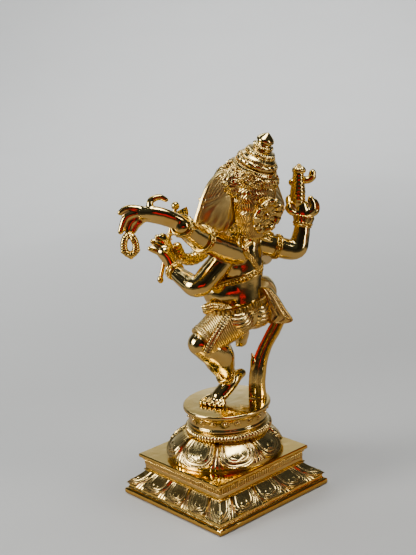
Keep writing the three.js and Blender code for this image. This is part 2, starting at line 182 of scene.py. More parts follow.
def combine(surfaces):
    """Several surfaces as one."""
    vertices, quads, tris, count = [], [], [], 0
    for v, q, t in surfaces:
        vertices.append(v)
        quads.append(q + count)
        tris.append(t + count)
        count += len(v)
    return np.vstack(vertices), np.vstack(quads), np.vstack(tris)


def smooth_path(points, count):
    """A curve through the points, as a Catmull-Rom spline, at `count` even steps of its length."""
    p = np.asarray(points, float)
    p = np.vstack([2 * p[0] - p[1], p, 2 * p[-1] - p[-2]])
    fine = []
    t = np.linspace(0, 1, 24, endpoint=False)[:, None]
    for a, b, c, d in zip(p, p[1:], p[2:], p[3:]):
        square, cube = 2 * a - 5 * b + 4 * c - d, 3 * b - a - 3 * c + d
        fine.append(0.5 * (2 * b + (c - a) * t + square * t**2 + cube * t**3))
    fine = np.vstack(fine + [p[-2][None]])
    length = np.concatenate([[0], np.cumsum(np.linalg.norm(np.diff(fine, axis=0), axis=1))])
    even = np.linspace(0, length[-1], count)
    return np.stack([np.interp(even, length, fine[:, k]) for k in range(fine.shape[1])], 1)


def path_frames(path, up=None):
    """Tangents of a path with two directions square to them, carried along without twist."""
    tangents = np.gradient(path, axis=0)
    tangents /= np.linalg.norm(tangents, axis=1)[:, None]
    start = np.array([0.0, 0.0, 1.0]) if up is None else np.asarray(up, float)
    if abs(unit(start) @ tangents[0]) > 0.95:
        start = np.array([1.0, 0.0, 0.0])
    side = unit(start - tangents[0] * (start @ tangents[0]))
    sides = []
    for tangent in tangents:
        side = unit(side - tangent * (side @ tangent))
        sides.append(side)
    sides = np.array(sides)
    return tangents, sides, np.cross(tangents, sides)


def tube(points, radii, count=40, around=28, relief=None, flat=1.0, up=None, rounded=True):
    """A tube through points: at each step a ring of radius r(v), squashed by `flat` along the second
    direction. relief(u, v) is added to the radius, with u from 0 to 1 around and v from 0 to 1 along. Its
    ends are domes."""
    path = smooth_path(points, count)
    v = np.linspace(0, 1, count)
    radius = np.interp(v, np.linspace(0, 1, len(radii)), radii)
    radius = np.convolve(np.pad(radius, 2, mode="edge"), [0.1, 0.2, 0.4, 0.2, 0.1], "valid")
    tangents, sides, others = path_frames(path, up)
    if rounded:
        turn = np.linspace(0.12, 1, CAP_STEPS + 1)[:-1] * math.pi / 2
        reach, shrink = np.cos(turn), np.sin(turn)
        head = path[0] - tangents[0] * (radius[0] * flat * reach)[:, None]
        tail = path[-1] + tangents[-1] * (radius[-1] * flat * reach[::-1])[:, None]
        path = np.vstack([head, path, tail])
        radius = np.concatenate([radius[0] * shrink, radius, radius[-1] * shrink[::-1]])
        v = np.concatenate([np.zeros(CAP_STEPS), v, np.ones(CAP_STEPS)])
        sides = np.pad(sides, ((CAP_STEPS, CAP_STEPS), (0, 0)), mode="edge")
        others = np.pad(others, ((CAP_STEPS, CAP_STEPS), (0, 0)), mode="edge")
    u = np.linspace(0, 1, around, endpoint=False)
    reach = radius[:, None] + (0 if relief is None else relief(u[None, :], v[:, None]))
    turn = u[None, :, None] * 2 * math.pi
    wide = sides[:, None] * np.cos(turn)
    thin = others[:, None] * np.sin(turn) * flat
    return ring_surface(path[:, None] + (wide + thin) * reach[..., None])


def square_to(up, toward):
    """Two directions square to `up` and to each other, the first of them nearest to `toward`."""
    toward = np.asarray(toward, float)
    east = unit(toward - up * (up @ toward))
    return east, np.cross(up, east)


def revolve(profile, middle, up=(0, 0, 1), around=240, rows=80, relief=None, toward=(1, 0, 0)):
    """A profile of (radius, height) turned about a line from `middle` along `up`.
    relief(u, v) moves the surface out along the profile's own normal; u = 0 lies toward `toward`."""
    path = smooth_path([(r, z, 0) for r, z in profile], rows)[:, :2]
    slope = np.gradient(path, axis=0)
    normal = np.stack([slope[:, 1], -slope[:, 0]], 1) / np.maximum(
        np.linalg.norm(slope, axis=1), 1e-6
    )[:, None]
    if (path[1:, 0] ** 2 * np.diff(path[:, 1])).sum() < 0:
        normal = -normal
    u = np.linspace(0, 1, around, endpoint=False)
    v = np.linspace(0, 1, rows)
    lift = np.zeros((rows, around))
    if relief is not None:
        lift = relief(u[None, :], v[:, None]) + lift
    radius = np.maximum(path[:, :1] + lift * normal[:, :1], 0.02)
    height = path[:, 1:] + lift * normal[:, 1:]
    up = unit(up)
    east, north = square_to(up, toward)
    turn = u[None, :, None] * 2 * math.pi
    flat = (east * np.cos(turn) + north * np.sin(turn)) * radius[..., None]
    return ring_surface(np.asarray(middle, float) + flat + up * height[..., None])


def square_rim(per_side):
    """The place s from 0 to 4 and the point at each step round a square of half side 1."""
    s = np.arange(4 * per_side) / per_side
    side, w = s.astype(int), (s % 1)[:, None]
    return s, SQUARE_CORNERS[side] * (1 - w) + SQUARE_CORNERS[side + 1] * w


def square_loft(profile, per_side, rows=60, relief=None, smooth=True, closed=False):
    """A square frustum through (half side, height) pairs, centred on the base.
    relief(s, v) moves its walls out, s from 0 to 4 round the sides and v from 0 to 1 down the profile."""
    if smooth:
        path = smooth_path([(h, z, 0) for h, z in profile], rows)[:, :2]
    else:
        path = np.asarray(profile, float)
    s, rim = square_rim(per_side)
    v = np.linspace(0, 1, len(path))
    lift = np.zeros((len(path), len(s))) if relief is None else relief(s[None, :], v[:, None])
    flat = rim[None] * (path[:, :1] + lift)[..., None]
    height = np.broadcast_to(path[:, 1:], flat.shape[:2])[..., None]
    return ring_surface(np.concatenate([flat, height], -1) + ORIGIN, closed_rows=closed)


def beads(points, radius, around=10, rows=6):
    """A small round bead at each point."""
    lat = np.linspace(-0.5, 0.5, rows + 2)[1:-1] * math.pi
    lon = np.arange(around) / around * 2 * math.pi
    ball = np.stack(
        [
            np.cos(lat)[:, None] * np.cos(lon), np.cos(lat)[:, None] * np.sin(lon),
            np.sin(lat)[:, None] + 0 * lon
        ], -1
    )
    v, quads, tris = ring_surface(ball)
    points = np.asarray(points, float)
    size = np.broadcast_to(radius, len(points))[:, None, None]
    vertices = (points[:, None] + v[None] * size).reshape(-1, 3)
    step = (np.arange(len(points)) * len(v))[:, None, None]
    return vertices, (quads[None] + step).reshape(-1, 4), (tris[None] + step).reshape(-1, 3)


def loop_points(middle, up, radius, count, toward=(1, 0, 0)):
    """Points spaced evenly round a circle."""
    east, north = square_to(unit(up), toward)
    turn = np.arange(count)[:, None] / count * 2 * math.pi
    return np.asarray(middle) + radius * (east * np.cos(turn) + north * np.sin(turn))


def ring_band(middle, up, radius, wire, around):
    """A closed ring: a circle of radius `wire` carried round a circle of the given radius."""
    up = unit(up)
    circle = loop_points(middle, up, radius, around)
    out = circle - middle
    out /= np.linalg.norm(out, axis=1)[:, None]
    turn = np.arange(SECTION_STEPS) / SECTION_STEPS * 2 * math.pi
    section = out[:, None] * np.cos(turn)[None, :, None] + up * np.sin(turn)[None, :, None]
    return ring_surface(circle[:, None] + section * wire, closed_rows=True)


def bump(x, middle, width):
    """A smooth bump of height 1."""
    return np.exp(-(((x - middle) / width) ** 2))


def rise(x, low, high):
    """A smooth step from 0 at low to 1 at high."""
    t = np.clip((x - low) / (high - low), 0, 1)
    return t * t * (3 - 2 * t)


def petal(p, q, height):
    """Relief of a lotus petal. p runs from -1 to 1 across it and q from 0 at its root to 1 at its round tip.
    The petal stands `height` proud inside a broad U, with two ridges along the U, an inner arch, two dots and
    a small heart; between two petals stands a dart with a ridge down its middle."""
    far = (np.abs(p / 0.93) ** 2.8 + (np.maximum(q - 0.28, 0) / 0.66) ** 2.8) ** (1 / 2.8)
    edge = 1 - far
    lift = height * rise(edge, -0.02, 0.05)
    for place, size, width in ((0.07, 0.55, 0.024), (0.16, 0.42, 0.022), (0.34, 0.45, 0.03)):
        lift = lift + size * bump(edge, place, width)
    for x in (-0.2, 0.2):
        lift = lift + 0.42 * np.exp(-((p - x) ** 2 * 1.2 + (q - 0.5) ** 2) / 0.05**2)
    heart = q - (0.7 - 0.1 * np.abs(np.sin(4.6 * p)))
    lift = lift + 0.3 * bump(heart, 0, 0.022) * rise(0.36 - np.abs(p), 0, 0.06)
    fan = np.abs(np.sin(9 * np.arctan2(p, 0.9 - q)))
    lift = lift + 0.1 * fan * rise(0.3 - q, 0, 0.2) * rise(edge, 0.34, 0.4)
    gap = (1 - np.abs(p)) / (0.12 + 0.4 * np.maximum(q - 0.3, 0) ** 1.2)
    outside = 1 - rise(edge, -0.04, 0.0)
    dart = 0.35 * bump(gap, 0, 0.2) + 0.3 * bump(gap, 0.62, 0.16)
    return lift + height * outside * dart


# ---------------------------------------------------------------- Blender pieces


def hollowness(vertices, edges, normals, passes=14):
    """How far each vertex lies under the smoothed surface, in mm: positive in grooves, negative on ridges."""
    count = len(vertices)
    a, b = edges[:, 0], edges[:, 1]
    degree = np.bincount(a, minlength=count) + np.bincount(b, minlength=count)
    smooth = vertices.copy()
    for _ in range(passes):
        total = np.stack(
            [
                np.bincount(a, smooth[b, k], minlength=count) + np.bincount(b, smooth[a, k], minlength=count)
                for k in range(3)
            ],
            1,
        )
        smooth = 0.5 * smooth + 0.5 * total / np.maximum(degree, 1)[:, None]
    return ((smooth - vertices) * normals).sum(1)


def mark_hollows(mesh):
    """Stores the groove depth on the mesh for its material to read."""
    count = len(mesh.vertices)
    flat = np.empty(count * 3, np.float32)
    mesh.vertices.foreach_get("co", flat)
    vertices = flat.reshape(-1, 3).astype(float) / MM
    normals = np.empty(count * 3, np.float32)
    mesh.vertices.foreach_get("normal", normals)
    edges = np.empty(len(mesh.edges) * 2, np.int32)
    mesh.edges.foreach_get("vertices", edges)
    depth = hollowness(vertices, edges.reshape(-1, 2), normals.reshape(-1, 3).astype(float))
    mark = mesh.attributes.get("hollow") or mesh.attributes.new("hollow", "FLOAT", "POINT")
    mark.data.foreach_set("value", np.clip(depth / FULL_GROOVE, -1, 1).astype(np.float32))


def piece(name, surface, material, nodes=(), sharp=50.0):
    """One finished object from a surface in mm. It rides on the root body and stands for its CAD nodes."""
    vertices, quads, tris = surface
    mesh = bpy.data.meshes.new(name)
    mesh.vertices.add(len(vertices))
    mesh.vertices.foreach_set("co", (vertices * MM).astype(np.float32).ravel())
    loops = np.concatenate([quads.ravel(), tris.ravel()]).astype(np.int32)
    starts = np.concatenate([np.arange(len(quads)) * 4, len(quads) * 4 + np.arange(len(tris)) * 3])
    mesh.loops.add(len(loops))
    mesh.loops.foreach_set("vertex_index", loops)
    mesh.polygons.add(len(starts))
    mesh.polygons.foreach_set("loop_start", starts.astype(np.int32))
    mesh.update(calc_edges=True)
    mesh.validate()
    finish_piece(name, mesh, material, nodes, sharp)


def finish_piece(name, mesh, material, nodes, sharp):
    """Shades, paints and attaches a mesh."""
    mesh.shade_smooth()
    if sharp:
        mesh.set_sharp_from_angle(angle=math.radians(sharp))
    mark_hollows(mesh)
    mesh.materials.append(material)
    made = bpy.data.objects.new(name, mesh)
    bpy.context.scene.collection.objects.link(made)
    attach(made, "root")
    if nodes:
        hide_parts(*nodes)


def fused(name, surfaces, material, nodes, voxel, polish):
    """Melts several closed surfaces into one skin, as in one casting, by voxel remeshing, then smooths it."""
    vertices, quads, tris = combine(surfaces)
    mesh = bpy.data.meshes.new(name)
    mesh.from_pydata((vertices * MM).tolist(), [], quads.tolist() + tris.tolist())
    rough = bpy.data.objects.new(name + "_rough", mesh)
    bpy.context.scene.collection.objects.link(rough)
    remesh = rough.modifiers.new("skin", "REMESH")
    remesh.mode = "VOXEL"
    remesh.voxel_size = voxel * MM
    smooth = rough.modifiers.new("polish", "SMOOTH")
    smooth.factor = 0.5
    smooth.iterations = polish
    depsgraph = bpy.context.evaluated_depsgraph_get()
    result = bpy.data.meshes.new_from_object(rough.evaluated_get(depsgraph), depsgraph=depsgraph)
    result.name = name
    bpy.data.objects.remove(rough)
    finish_piece(name, result, material, nodes, 0)


# ---------------------------------------------------------------- materials


def node(tree, kind, inputs=None, **settings):
    """Adds a shader node, sets its properties and its unlinked inputs."""
    made = tree.nodes.new(kind)
    for key, value in settings.items():
        setattr(made, key, value)
    for key, value in (inputs or {}).items():
        if isinstance(value, bpy.types.NodeSocket):
            tree.links.new(value, made.inputs[key])
        else:
            made.inputs[key].default_value = value
    return made


def mixed(tree, factor, first, second):
    """A colour mix; each colour is a value or a socket."""
    made = node(tree, "ShaderNodeMix", {"Factor": factor}, data_type="RGBA")
    for index, value in ((6, first), (7, second)):
        if isinstance(value, bpy.types.NodeSocket):
            tree.links.new(value, made.inputs[index])
        else:
            made.inputs[index].default_value = value
    return made.outputs[2]


def mapped(tree, value, low, high, out_low=0.0, out_high=1.0, kind="LINEAR"):
    """A value stretched from low..high to out_low..out_high and held there."""
    inputs = {"Value": value, "From Min": low, "From Max": high, "To Min": out_low, "To Max": out_high}
    return node(tree, "ShaderNodeMapRange", inputs, interpolation_type=kind).outputs[0]


def noise(tree, place, scale, detail, roughness=0.5):
    """Cloudy noise with `scale` cells to the metre."""
    inputs = {"Vector": place, "Scale": scale, "Detail": detail, "Roughness": roughness}
    return node(tree, "ShaderNodeTexNoise", inputs).outputs[0]


def sum_of(tree, operation, first, second, clamp=False):
    """The result of a sum on two values."""
    inputs = {0: first, 1: second}
    return node(tree, "ShaderNodeMath", inputs, operation=operation, use_clamp=clamp).outputs[0]


def dented(tree, height, strength, distance, normal=None):
    """A surface normal tilted by a height, on top of an earlier normal where one is given."""
    inputs = {"Height": height, "Strength": strength, "Distance": distance}
    if normal is not None:
        inputs["Normal"] = normal
    return node(tree, "ShaderNodeBump", inputs).outputs[0]


def brass(name, slot, gold, patina_and_shade, groove_low, groove_high, rough, waviness):
    """Polished brass: gold on the high parts, brown patina in the grooves, the same brown as painted shade in
    the creases between parts, cast unevenness, a pale rub on edges and faint polishing scratches. `waviness`
    is the strength of the unevenness."""
    material = bpy.data.materials.new(name)
    material["slot"] = slot
    material.use_nodes = True
    tree = material.node_tree
    tree.nodes.clear()
    place = node(tree, "ShaderNodeTexCoord").outputs["Object"]
    depth = node(tree, "ShaderNodeAttribute", attribute_name="hollow").outputs["Fac"]
    groove = mapped(tree, depth, groove_low, groove_high, kind="SMOOTHSTEP")
    edge = mapped(tree, depth, -0.35, -1.0, kind="SMOOTHSTEP")
    # Painted shade: ambient occlusion within 3.5 mm darkens the creases between parts towards the brown.
    painted_crease_shade = node(
        tree, "ShaderNodeAmbientOcclusion", {"Distance": 0.0035}, samples=4, only_local=False
    ).outputs["AO"]
    # Brown in the grooves is patina; brown in the creases from the occlusion is painted shade.
    patina_and_crease_shade = sum_of(tree, "MAXIMUM", groove, mapped(tree, painted_crease_shade, 0.62, 0.12, 0.0, 0.85))
    fine = noise(tree, place, 420.0, 5.0, 0.65)
    mottled_patina_and_shade = sum_of(tree, "MULTIPLY", patina_and_crease_shade, sum_of(tree, "MULTIPLY", fine, 1.55), clamp=True)
    patch = mapped(tree, noise(tree, place, 55.0, 4.0, 0.6), 0.42, 0.68)
    warm = mixed(tree, patch, gold, tuple(np.array(gold) * [0.95, 0.86, 0.74, 1.0]))
    pale = mixed(tree, edge, warm, (0.92, 0.68, 0.25, 1.0))
    # The colour turns brown where patina lies in grooves and where painted crease shade falls.
    colour = mixed(tree, mottled_patina_and_shade, pale, patina_and_shade)
    speck = mapped(tree, fine, 0.45, 0.75, 0.0, 0.1)
    roughness = sum_of(tree, "ADD", mapped(tree, mottled_patina_and_shade, 0.0, 1.0, rough, 0.48), speck)
    swell = noise(tree, place, 75.0, 2.0)
    pits = noise(tree, place, 1500.0, 4.0, 0.7)
    streaks = {"Vector": place, "Rotation": (0.5, 0.3, 0.9), "Scale": (160.0, 2600.0, 2600.0)}
    rubs = noise(tree, node(tree, "ShaderNodeMapping", streaks).outputs[0], 1.0, 3.0)
    normal = dented(tree, swell, waviness, 0.0013)
    normal = dented(tree, pits, 0.22, 0.0002, normal)
    normal = dented(tree, rubs, 0.12, 0.0001, normal)
    inputs = {"Base Color": colour, "Metallic": 1.0, "Roughness": roughness, "Normal": normal}
    shader = node(tree, "ShaderNodeBsdfPrincipled", inputs)
    node(tree, "ShaderNodeOutputMaterial", {"Surface": shader.outputs[0]})
    return material


def material(context, kind):
    """The scene's polished, chased or worn brass, made when it is first asked for."""
    name = "cast_" + kind
    found = bpy.data.materials.get(name)
    if found:
        return found
    look = context.scene.statue_brass
    gold, patina_and_shade = (*look.gold, 1.0), (*look.patina_and_shade, 1.0)
    if kind == "polished":
        return brass(name, "polished_brass", gold, patina_and_shade, 0.25, 0.95, look.roughness, 0.55)
    if kind == "worn":
        return brass(name, "chased_brass", gold, patina_and_shade, -0.2, 0.45, look.roughness + 0.24, 0.2)
    return brass(name, "chased_brass", gold, patina_and_shade, -0.05, 0.5, look.roughness + 0.1, 0.25)


# ---------------------------------------------------------------- the base


def petal_tier(settings):
    """The lower square tier: petals with three to a side and one round each corner, pointing down."""

    def relief(s, v):
        p = ((settings.petals_per_side * s + 0.5) % 1 - 0.5) * 2
        return petal(p, v, settings.petal_lift / MM) - 1.3

    outline = [(34.4, 15.4), (36.6, 13.2), (39.4, 10.9), (42.4, 8.6), (44.6, 6.2)]
    wall = square_loft(outline, 200, 70, relief)
    skirt = square_loft([(42.6, 6.4), (42.9, 4.9), (43.4, 3.9)], 40, 8)
    return [wall, skirt]


def upper_plinth(settings):
    """The plinth above the petals: upright flutes under a bead row."""

    def relief(s, v):
        wave = (settings.flutes_per_side * s) % 1
        flute = np.abs(np.sin(math.pi * wave)) ** 0.6
        return 0.8 * flute * rise(v, 0.14, 0.2) * (1 - rise(v, 0.5, 0.56)) + 0.3 * rise(v, 0.56, 0.6) - 0.5

    wall = square_loft([(34.9, 23.4), (34.9, 20.0), (34.9, 17.0), (34.9, 15.2)], 240, 26, relief)
    foot = square_loft([(35.3, 16.2), (35.7, 15.7), (35.3, 15.1)], 40, 6)
    return [wall, foot]


def square_beads(half, height, per_side, radius):
    """A row of beads round a square."""
    rim = square_rim(per_side)[1] * half
    points = np.concatenate([rim, np.full((len(rim), 1), height)], 1) + ORIGIN
    return beads(points, radius, 8, 5)


def lotus_dome(settings):
    """The round cushion of petals under the drum, with the tips of its petals turned down."""

    def relief(u, v):
        p = ((settings.dome_petals * u + 0.12) % 1 - 0.5) * 2
        return petal(p, v, 1.1) - 1.2

    middle = (centre("lotus_dome") - ORIGIN) * [1, 1, 0] + ORIGIN
    outline = [(24.6, 41.0), (28.4, 38.9), (31.8, 36.2), (34.4, 33.0), (35.9, 29.8), (36.0, 27.2)]
    wall = revolve(outline, middle, around=560, rows=80, relief=relief)
    foot = revolve([(34.0, 27.6), (35.0, 27.0), (34.6, 26.3)], middle, around=120, rows=8)
    return [wall, foot]


def bead_ring(settings):
    """The ribbed ring between dome and drum: round beads shoulder to shoulder between two plain fillets."""
    middle = centre("bead_ring") * [1, 1, 0]

    def ribs(u, v):
        body = rise(v, 0.16, 0.3) * rise(-v, -0.84, -0.7)
        return body * (0.55 * np.abs(np.sin(math.pi * settings.ring_beads * u)) ** 0.7) - 0.2

    outline = [
        (24.2, 40.4), (25.0, 41.0), (26.1, 41.9), (26.5, 43.1), (26.1, 44.4), (25.0, 45.4), (23.8, 46.2)
    ]
    return revolve(outline, middle, around=640, rows=36, relief=ribs)


def drum(settings):
    """The flared drum, with a lip above and below and studded rosettes round its waist, and its flat top."""
    middle = centre("pedestal_drum") * [1, 1, 0]

    def relief(u, v):
        waist = rise(v, 0.3, 0.36) * rise(-v, -0.72, -0.66)
        cell = ((settings.drum_studs * u) % 1 - 0.5) * 2
        x, y = cell * 4.0, (v - 0.51) * 16
        far = np.sqrt(x * x + y * y)
        flower = 1.1 * rise(1.1 - far, 0, 0.6) + 0.2 * bump(far, 1.9, 0.35)
        return waist * flower

    outline = [
        (23.0, 46.2), (24.3, 46.6), (24.4, 47.6), (23.7, 48.6), (23.8, 50.2), (24.3, 52.4), (25.1, 54.4)
    ]
    outline += [(26.0, 55.6), (26.8, 56.2), (26.9, 57.4), (26.5, 58.1), (25.6, 58.3)]
    return revolve(outline, middle, around=480, rows=90, relief=relief)


class STATUE_OT_base(bpy.types.Operator):
    """Builds the square and round tiers of the base"""

    bl_idname = "statue.base"
    bl_label = "Build base"

    def execute(self, context):
        settings = context.scene.statue_base
        polished, chased = material(context, "polished"), material(context, "chased")
        half = settings.side / MM / 2
        rim_line = [
            (half - 3.4, 0.0), (half - 0.5, 0.0), (half, 0.5), (half, 2.8), (half - 0.6, 3.5),
            (half - 2.6, 3.9)
        ]
        rim_line += [(half - 3.2, 3.6), (half - 3.4, 2.0)]
        piece("rim", square_loft(rim_line, 30, smooth=False, closed=True), polished, ["base_rim"])
        piece("petals_square", combine(petal_tier(settings)), chased, ["petal_tier"], 70)
        plinth = upper_plinth(settings) + [square_beads(35.2, 22.6, 50, 0.55)]
        piece("plinth", combine(plinth), chased, ["upper_plinth"], 70)
        plate_line = [(36.0, 23.6), (36.9, 23.9), (37.2, 24.4), (37.2, 25.8), (36.8, 26.3), (30.0, 26.4)]
        piece("cornice", square_loft(plate_line, 40, smooth=False), polished, ["cornice_plate"])
        piece("lotus", combine(lotus_dome(settings)), chased, ["lotus_dome"], 70)
        piece("beaded_ring", bead_ring(settings), chased, ["bead_ring"], 70)
        piece("drum", drum(settings), polished, ["pedestal_drum"], 60)
        return {"FINISHED"}


# ---------------------------------------------------------------- the figure


def limb(side):
    """Shoulder, elbow and wrist of one arm, read from its CAD solids."""
    upper = axis_line(side + "_upper_arm", TORSO)
    lower = axis_line(side + "_forearm", upper[1])
    elbow = meeting(upper, lower)
    shoulder = upper[0] + unit(upper[0] - elbow) * 5
    return shoulder, elbow, lower[1]


def leg(side):
    """Hip, knee and ankle of one leg. Knee and ankle are read from its CAD solids."""
    thigh = axis_line(side + "_thigh", centre("hips"))
    shin = axis_line(side + "_shin", thigh[1])
    hip, knee = HIPS[side], meeting(thigh, shin)
    return hip, knee + unit(hip - knee) * KNEE_LIFT[side], shin[1]


def blob(middle, rx, ry, rz, around=40, rows=24):
    """An ellipsoid: three radii along x, y and z."""
    lat = np.linspace(-0.5, 0.5, rows + 2)[1:-1, None] * math.pi
    lon = np.arange(around)[None, :] / around * 2 * math.pi
    ball = np.stack(
        [rx * np.cos(lat) * np.cos(lon), ry * np.cos(lat) * np.sin(lon), rz * np.sin(lat) + 0 * lon], -1
    )
    return ring_surface(ball + np.asarray(middle, float))


def head_frame():
    """The head's own left, front and up directions."""
    left = unit([1, 0.04, 0.1])
    front = -unit(np.cross(CROWN_UP, left))
    return left, front, CROWN_UP


def on_head(left, front, up):
    """A point given in mm from the middle of the head, along its own directions."""
    a, b, c = head_frame()
    return HEAD + a * left + b * front + c * up


def arm_surfaces(side, radii):
    """One arm from shoulder to wrist as a single bent tube, and its wrist."""
    shoulder, elbow, wrist = limb(side)
    points = [
        shoulder, shoulder * 0.45 + elbow * 0.55, elbow + 0.06 * (shoulder + wrist - 2 * elbow),
        wrist * 0.5 + elbow * 0.5, wrist
    ]
    return tube(points, radii, 40, 36), wrist


def finger(places, radius):
    """One finger through places given from the middle of the base's underside, full at its root."""
    points = [spot(*place) for place in places]
    return tube(points, [radius, radius * 0.96, radius * 1.04, radius * 0.92, radius * 0.72], 22, 18)


def arms_and_hands():
    """The four arms with their hands: each hand is a flattened palm with fingers set on it."""
    made = []
    arm, wrist = arm_surfaces("rear_left", [7.8, 7.9, 7.7, 7.3, 6.9, 6.0, 4.9])
    made.append(arm)
    palm = [wrist - [3, -1, 1.6], spot(43.4, 23.4, 184.8), spot(48.8, 18.6, 187.6), spot(54.0, 13.6, 188.6)]
    made.append(tube(palm, [4.9, 5.1, 5.5, 5.6, 4.6], 26, 30, flat=0.72, up=(0.31, 0.46, 0.83)))
    made.append(
        finger([(52.5, 15.5, 190.6), (57.4, 11.6, 192.2), (61.0, 8.6, 192.4), (63.8, 6.6, 190.6)], 2.1)
    )
    made.append(finger([(53, 13.6, 188.6), (58.4, 11.6, 189.4), (62.6, 9.2, 187.2), (66.0, 8.2, 180.6)], 2.2))
    made.append(
        finger([(52.6, 12.4, 187.0), (57.4, 11.6, 186.4), (60.6, 10.2, 183.6), (62.6, 9.8, 178.2)], 2.1)
    )
    made.append(finger([(51, 13.2, 186.0), (55, 13.2, 184.8), (57.4, 12.0, 182.6), (59.6, 11.4, 179.6)], 1.8))
    made.append(
        finger(
            [
                (47.6, 19.0, 188.6), (51.0, 17.4, 192.6), (49.6, 16.6, 195.6), (45.6, 19.0, 197.0),
                (43.0, 21.4, 195.2)
            ],
            1.9
        )
    )
    arm, wrist = arm_surfaces("front_left", [7.6, 7.5, 7.2, 6.9, 6.1, 5.2, 4.4])
    made.append(arm)
    palm = [wrist, spot(14.2, -16.8, 149.0), spot(15.4, -19.4, 153.6)]
    made.append(tube(palm, [4.2, 5.2, 5.8], 16, 28, flat=0.8, up=(0.5, 0.2, 0.8)))
    made.append(
        finger([(15.6, -17.6, 152.6), (18.6, -20.6, 154.8), (21.4, -22.8, 156.4), (22.6, -23.8, 157.0)], 2.35)
    )
    made.append(
        finger([(15.0, -18.0, 155.0), (17.4, -20.6, 158.0), (19.6, -22.6, 160.2), (20.6, -23.2, 161.0)], 2.35)
    )
    made.append(
        finger([(14.0, -18.0, 156.4), (15.4, -19.8, 160.0), (17.0, -21.4, 162.6), (18.0, -21.9, 163.4)], 2.2)
    )
    made.append(
        finger([(12.6, -17.6, 156.6), (13.0, -18.8, 160.2), (14.2, -20.2, 163.2), (15.2, -20.6, 164.0)], 2.05)
    )
    made.append(
        finger([(12.4, -17.0, 150.0), (10.6, -19.6, 153.6), (11.6, -22.4, 156.6), (15.0, -23.6, 157.6)], 2.0)
    )
    arm, wrist = arm_surfaces("rear_right", [7.4, 7.0, 6.6, 6.4, 5.9, 5.3, 4.6])
    made.append(arm)
    palm = [wrist, spot(-54.2, 28.2, 168.0), spot(-54.6, 27.2, 173.0)]
    made.append(tube(palm, [4.1, 5.0, 4.6], 16, 28, flat=0.78, up=(-0.75, 0.66, 0)))
    made.append(
        finger([(-51.4, 27.0, 168.4), (-48.6, 25.6, 170.0), (-47.2, 24.0, 172.4), (-47.8, 24.0, 174.6)], 2.2)
    )
    made.append(
        finger([(-54.6, 30.0, 167.6), (-58.8, 32.0, 169.8), (-60.2, 31.8, 173.0), (-59.6, 30.8, 176.6)], 2.6)
    )
    made.append(
        finger([(-55.6, 30.6, 166.6), (-60.4, 32.6, 168.4), (-62.4, 32.6, 171.4), (-61.8, 32.2, 174.6)], 2.3)
    )
    made.append(
        finger([(-55.0, 26.0, 170.6), (-57.6, 24.2, 173.2), (-56.8, 21.6, 176.0), (-53.8, 21.2, 176.8)], 2.1)
    )
    made.append(
        finger([(-52.4, 26.0, 171.4), (-50.4, 22.8, 174.0), (-51.6, 20.4, 177.0), (-54.6, 20.8, 178.4)], 2.2)
    )
    arm, wrist = arm_surfaces("front_right", [7.0, 6.7, 6.4, 6.2, 5.4, 4.5, 3.9])
    made.append(arm)
    palm = [wrist, wrist + [0.4, -1.6, 5], wrist + [1, -3, 9.5]]
    made.append(tube(palm, [3.8, 4.8, 4.8], 16, 28, flat=0.62, up=(0.95, 0.2, 0)))
    for shift, reach in ((4.2, 8.6), (1.6, 10.2), (-1.0, 9.8), (-3.4, 8.0)):
        root = wrist + [shift, -3.0, 8.6]
        tip = root + [shift * 0.12, -2.2, reach]
        made.append(tube([root, (root + tip) / 2 + [0, -0.6, 0], tip], [1.9, 1.85, 1.4], 18, 18))
    thumb = [wrist + [2.8, -3.6, 3.0], wrist + [6.4, -6.2, 5.6], wrist + [6.8, -8.6, 9.4]]
    made.append(tube(thumb, [2.2, 2.0, 1.5], 18, 18))
    return made


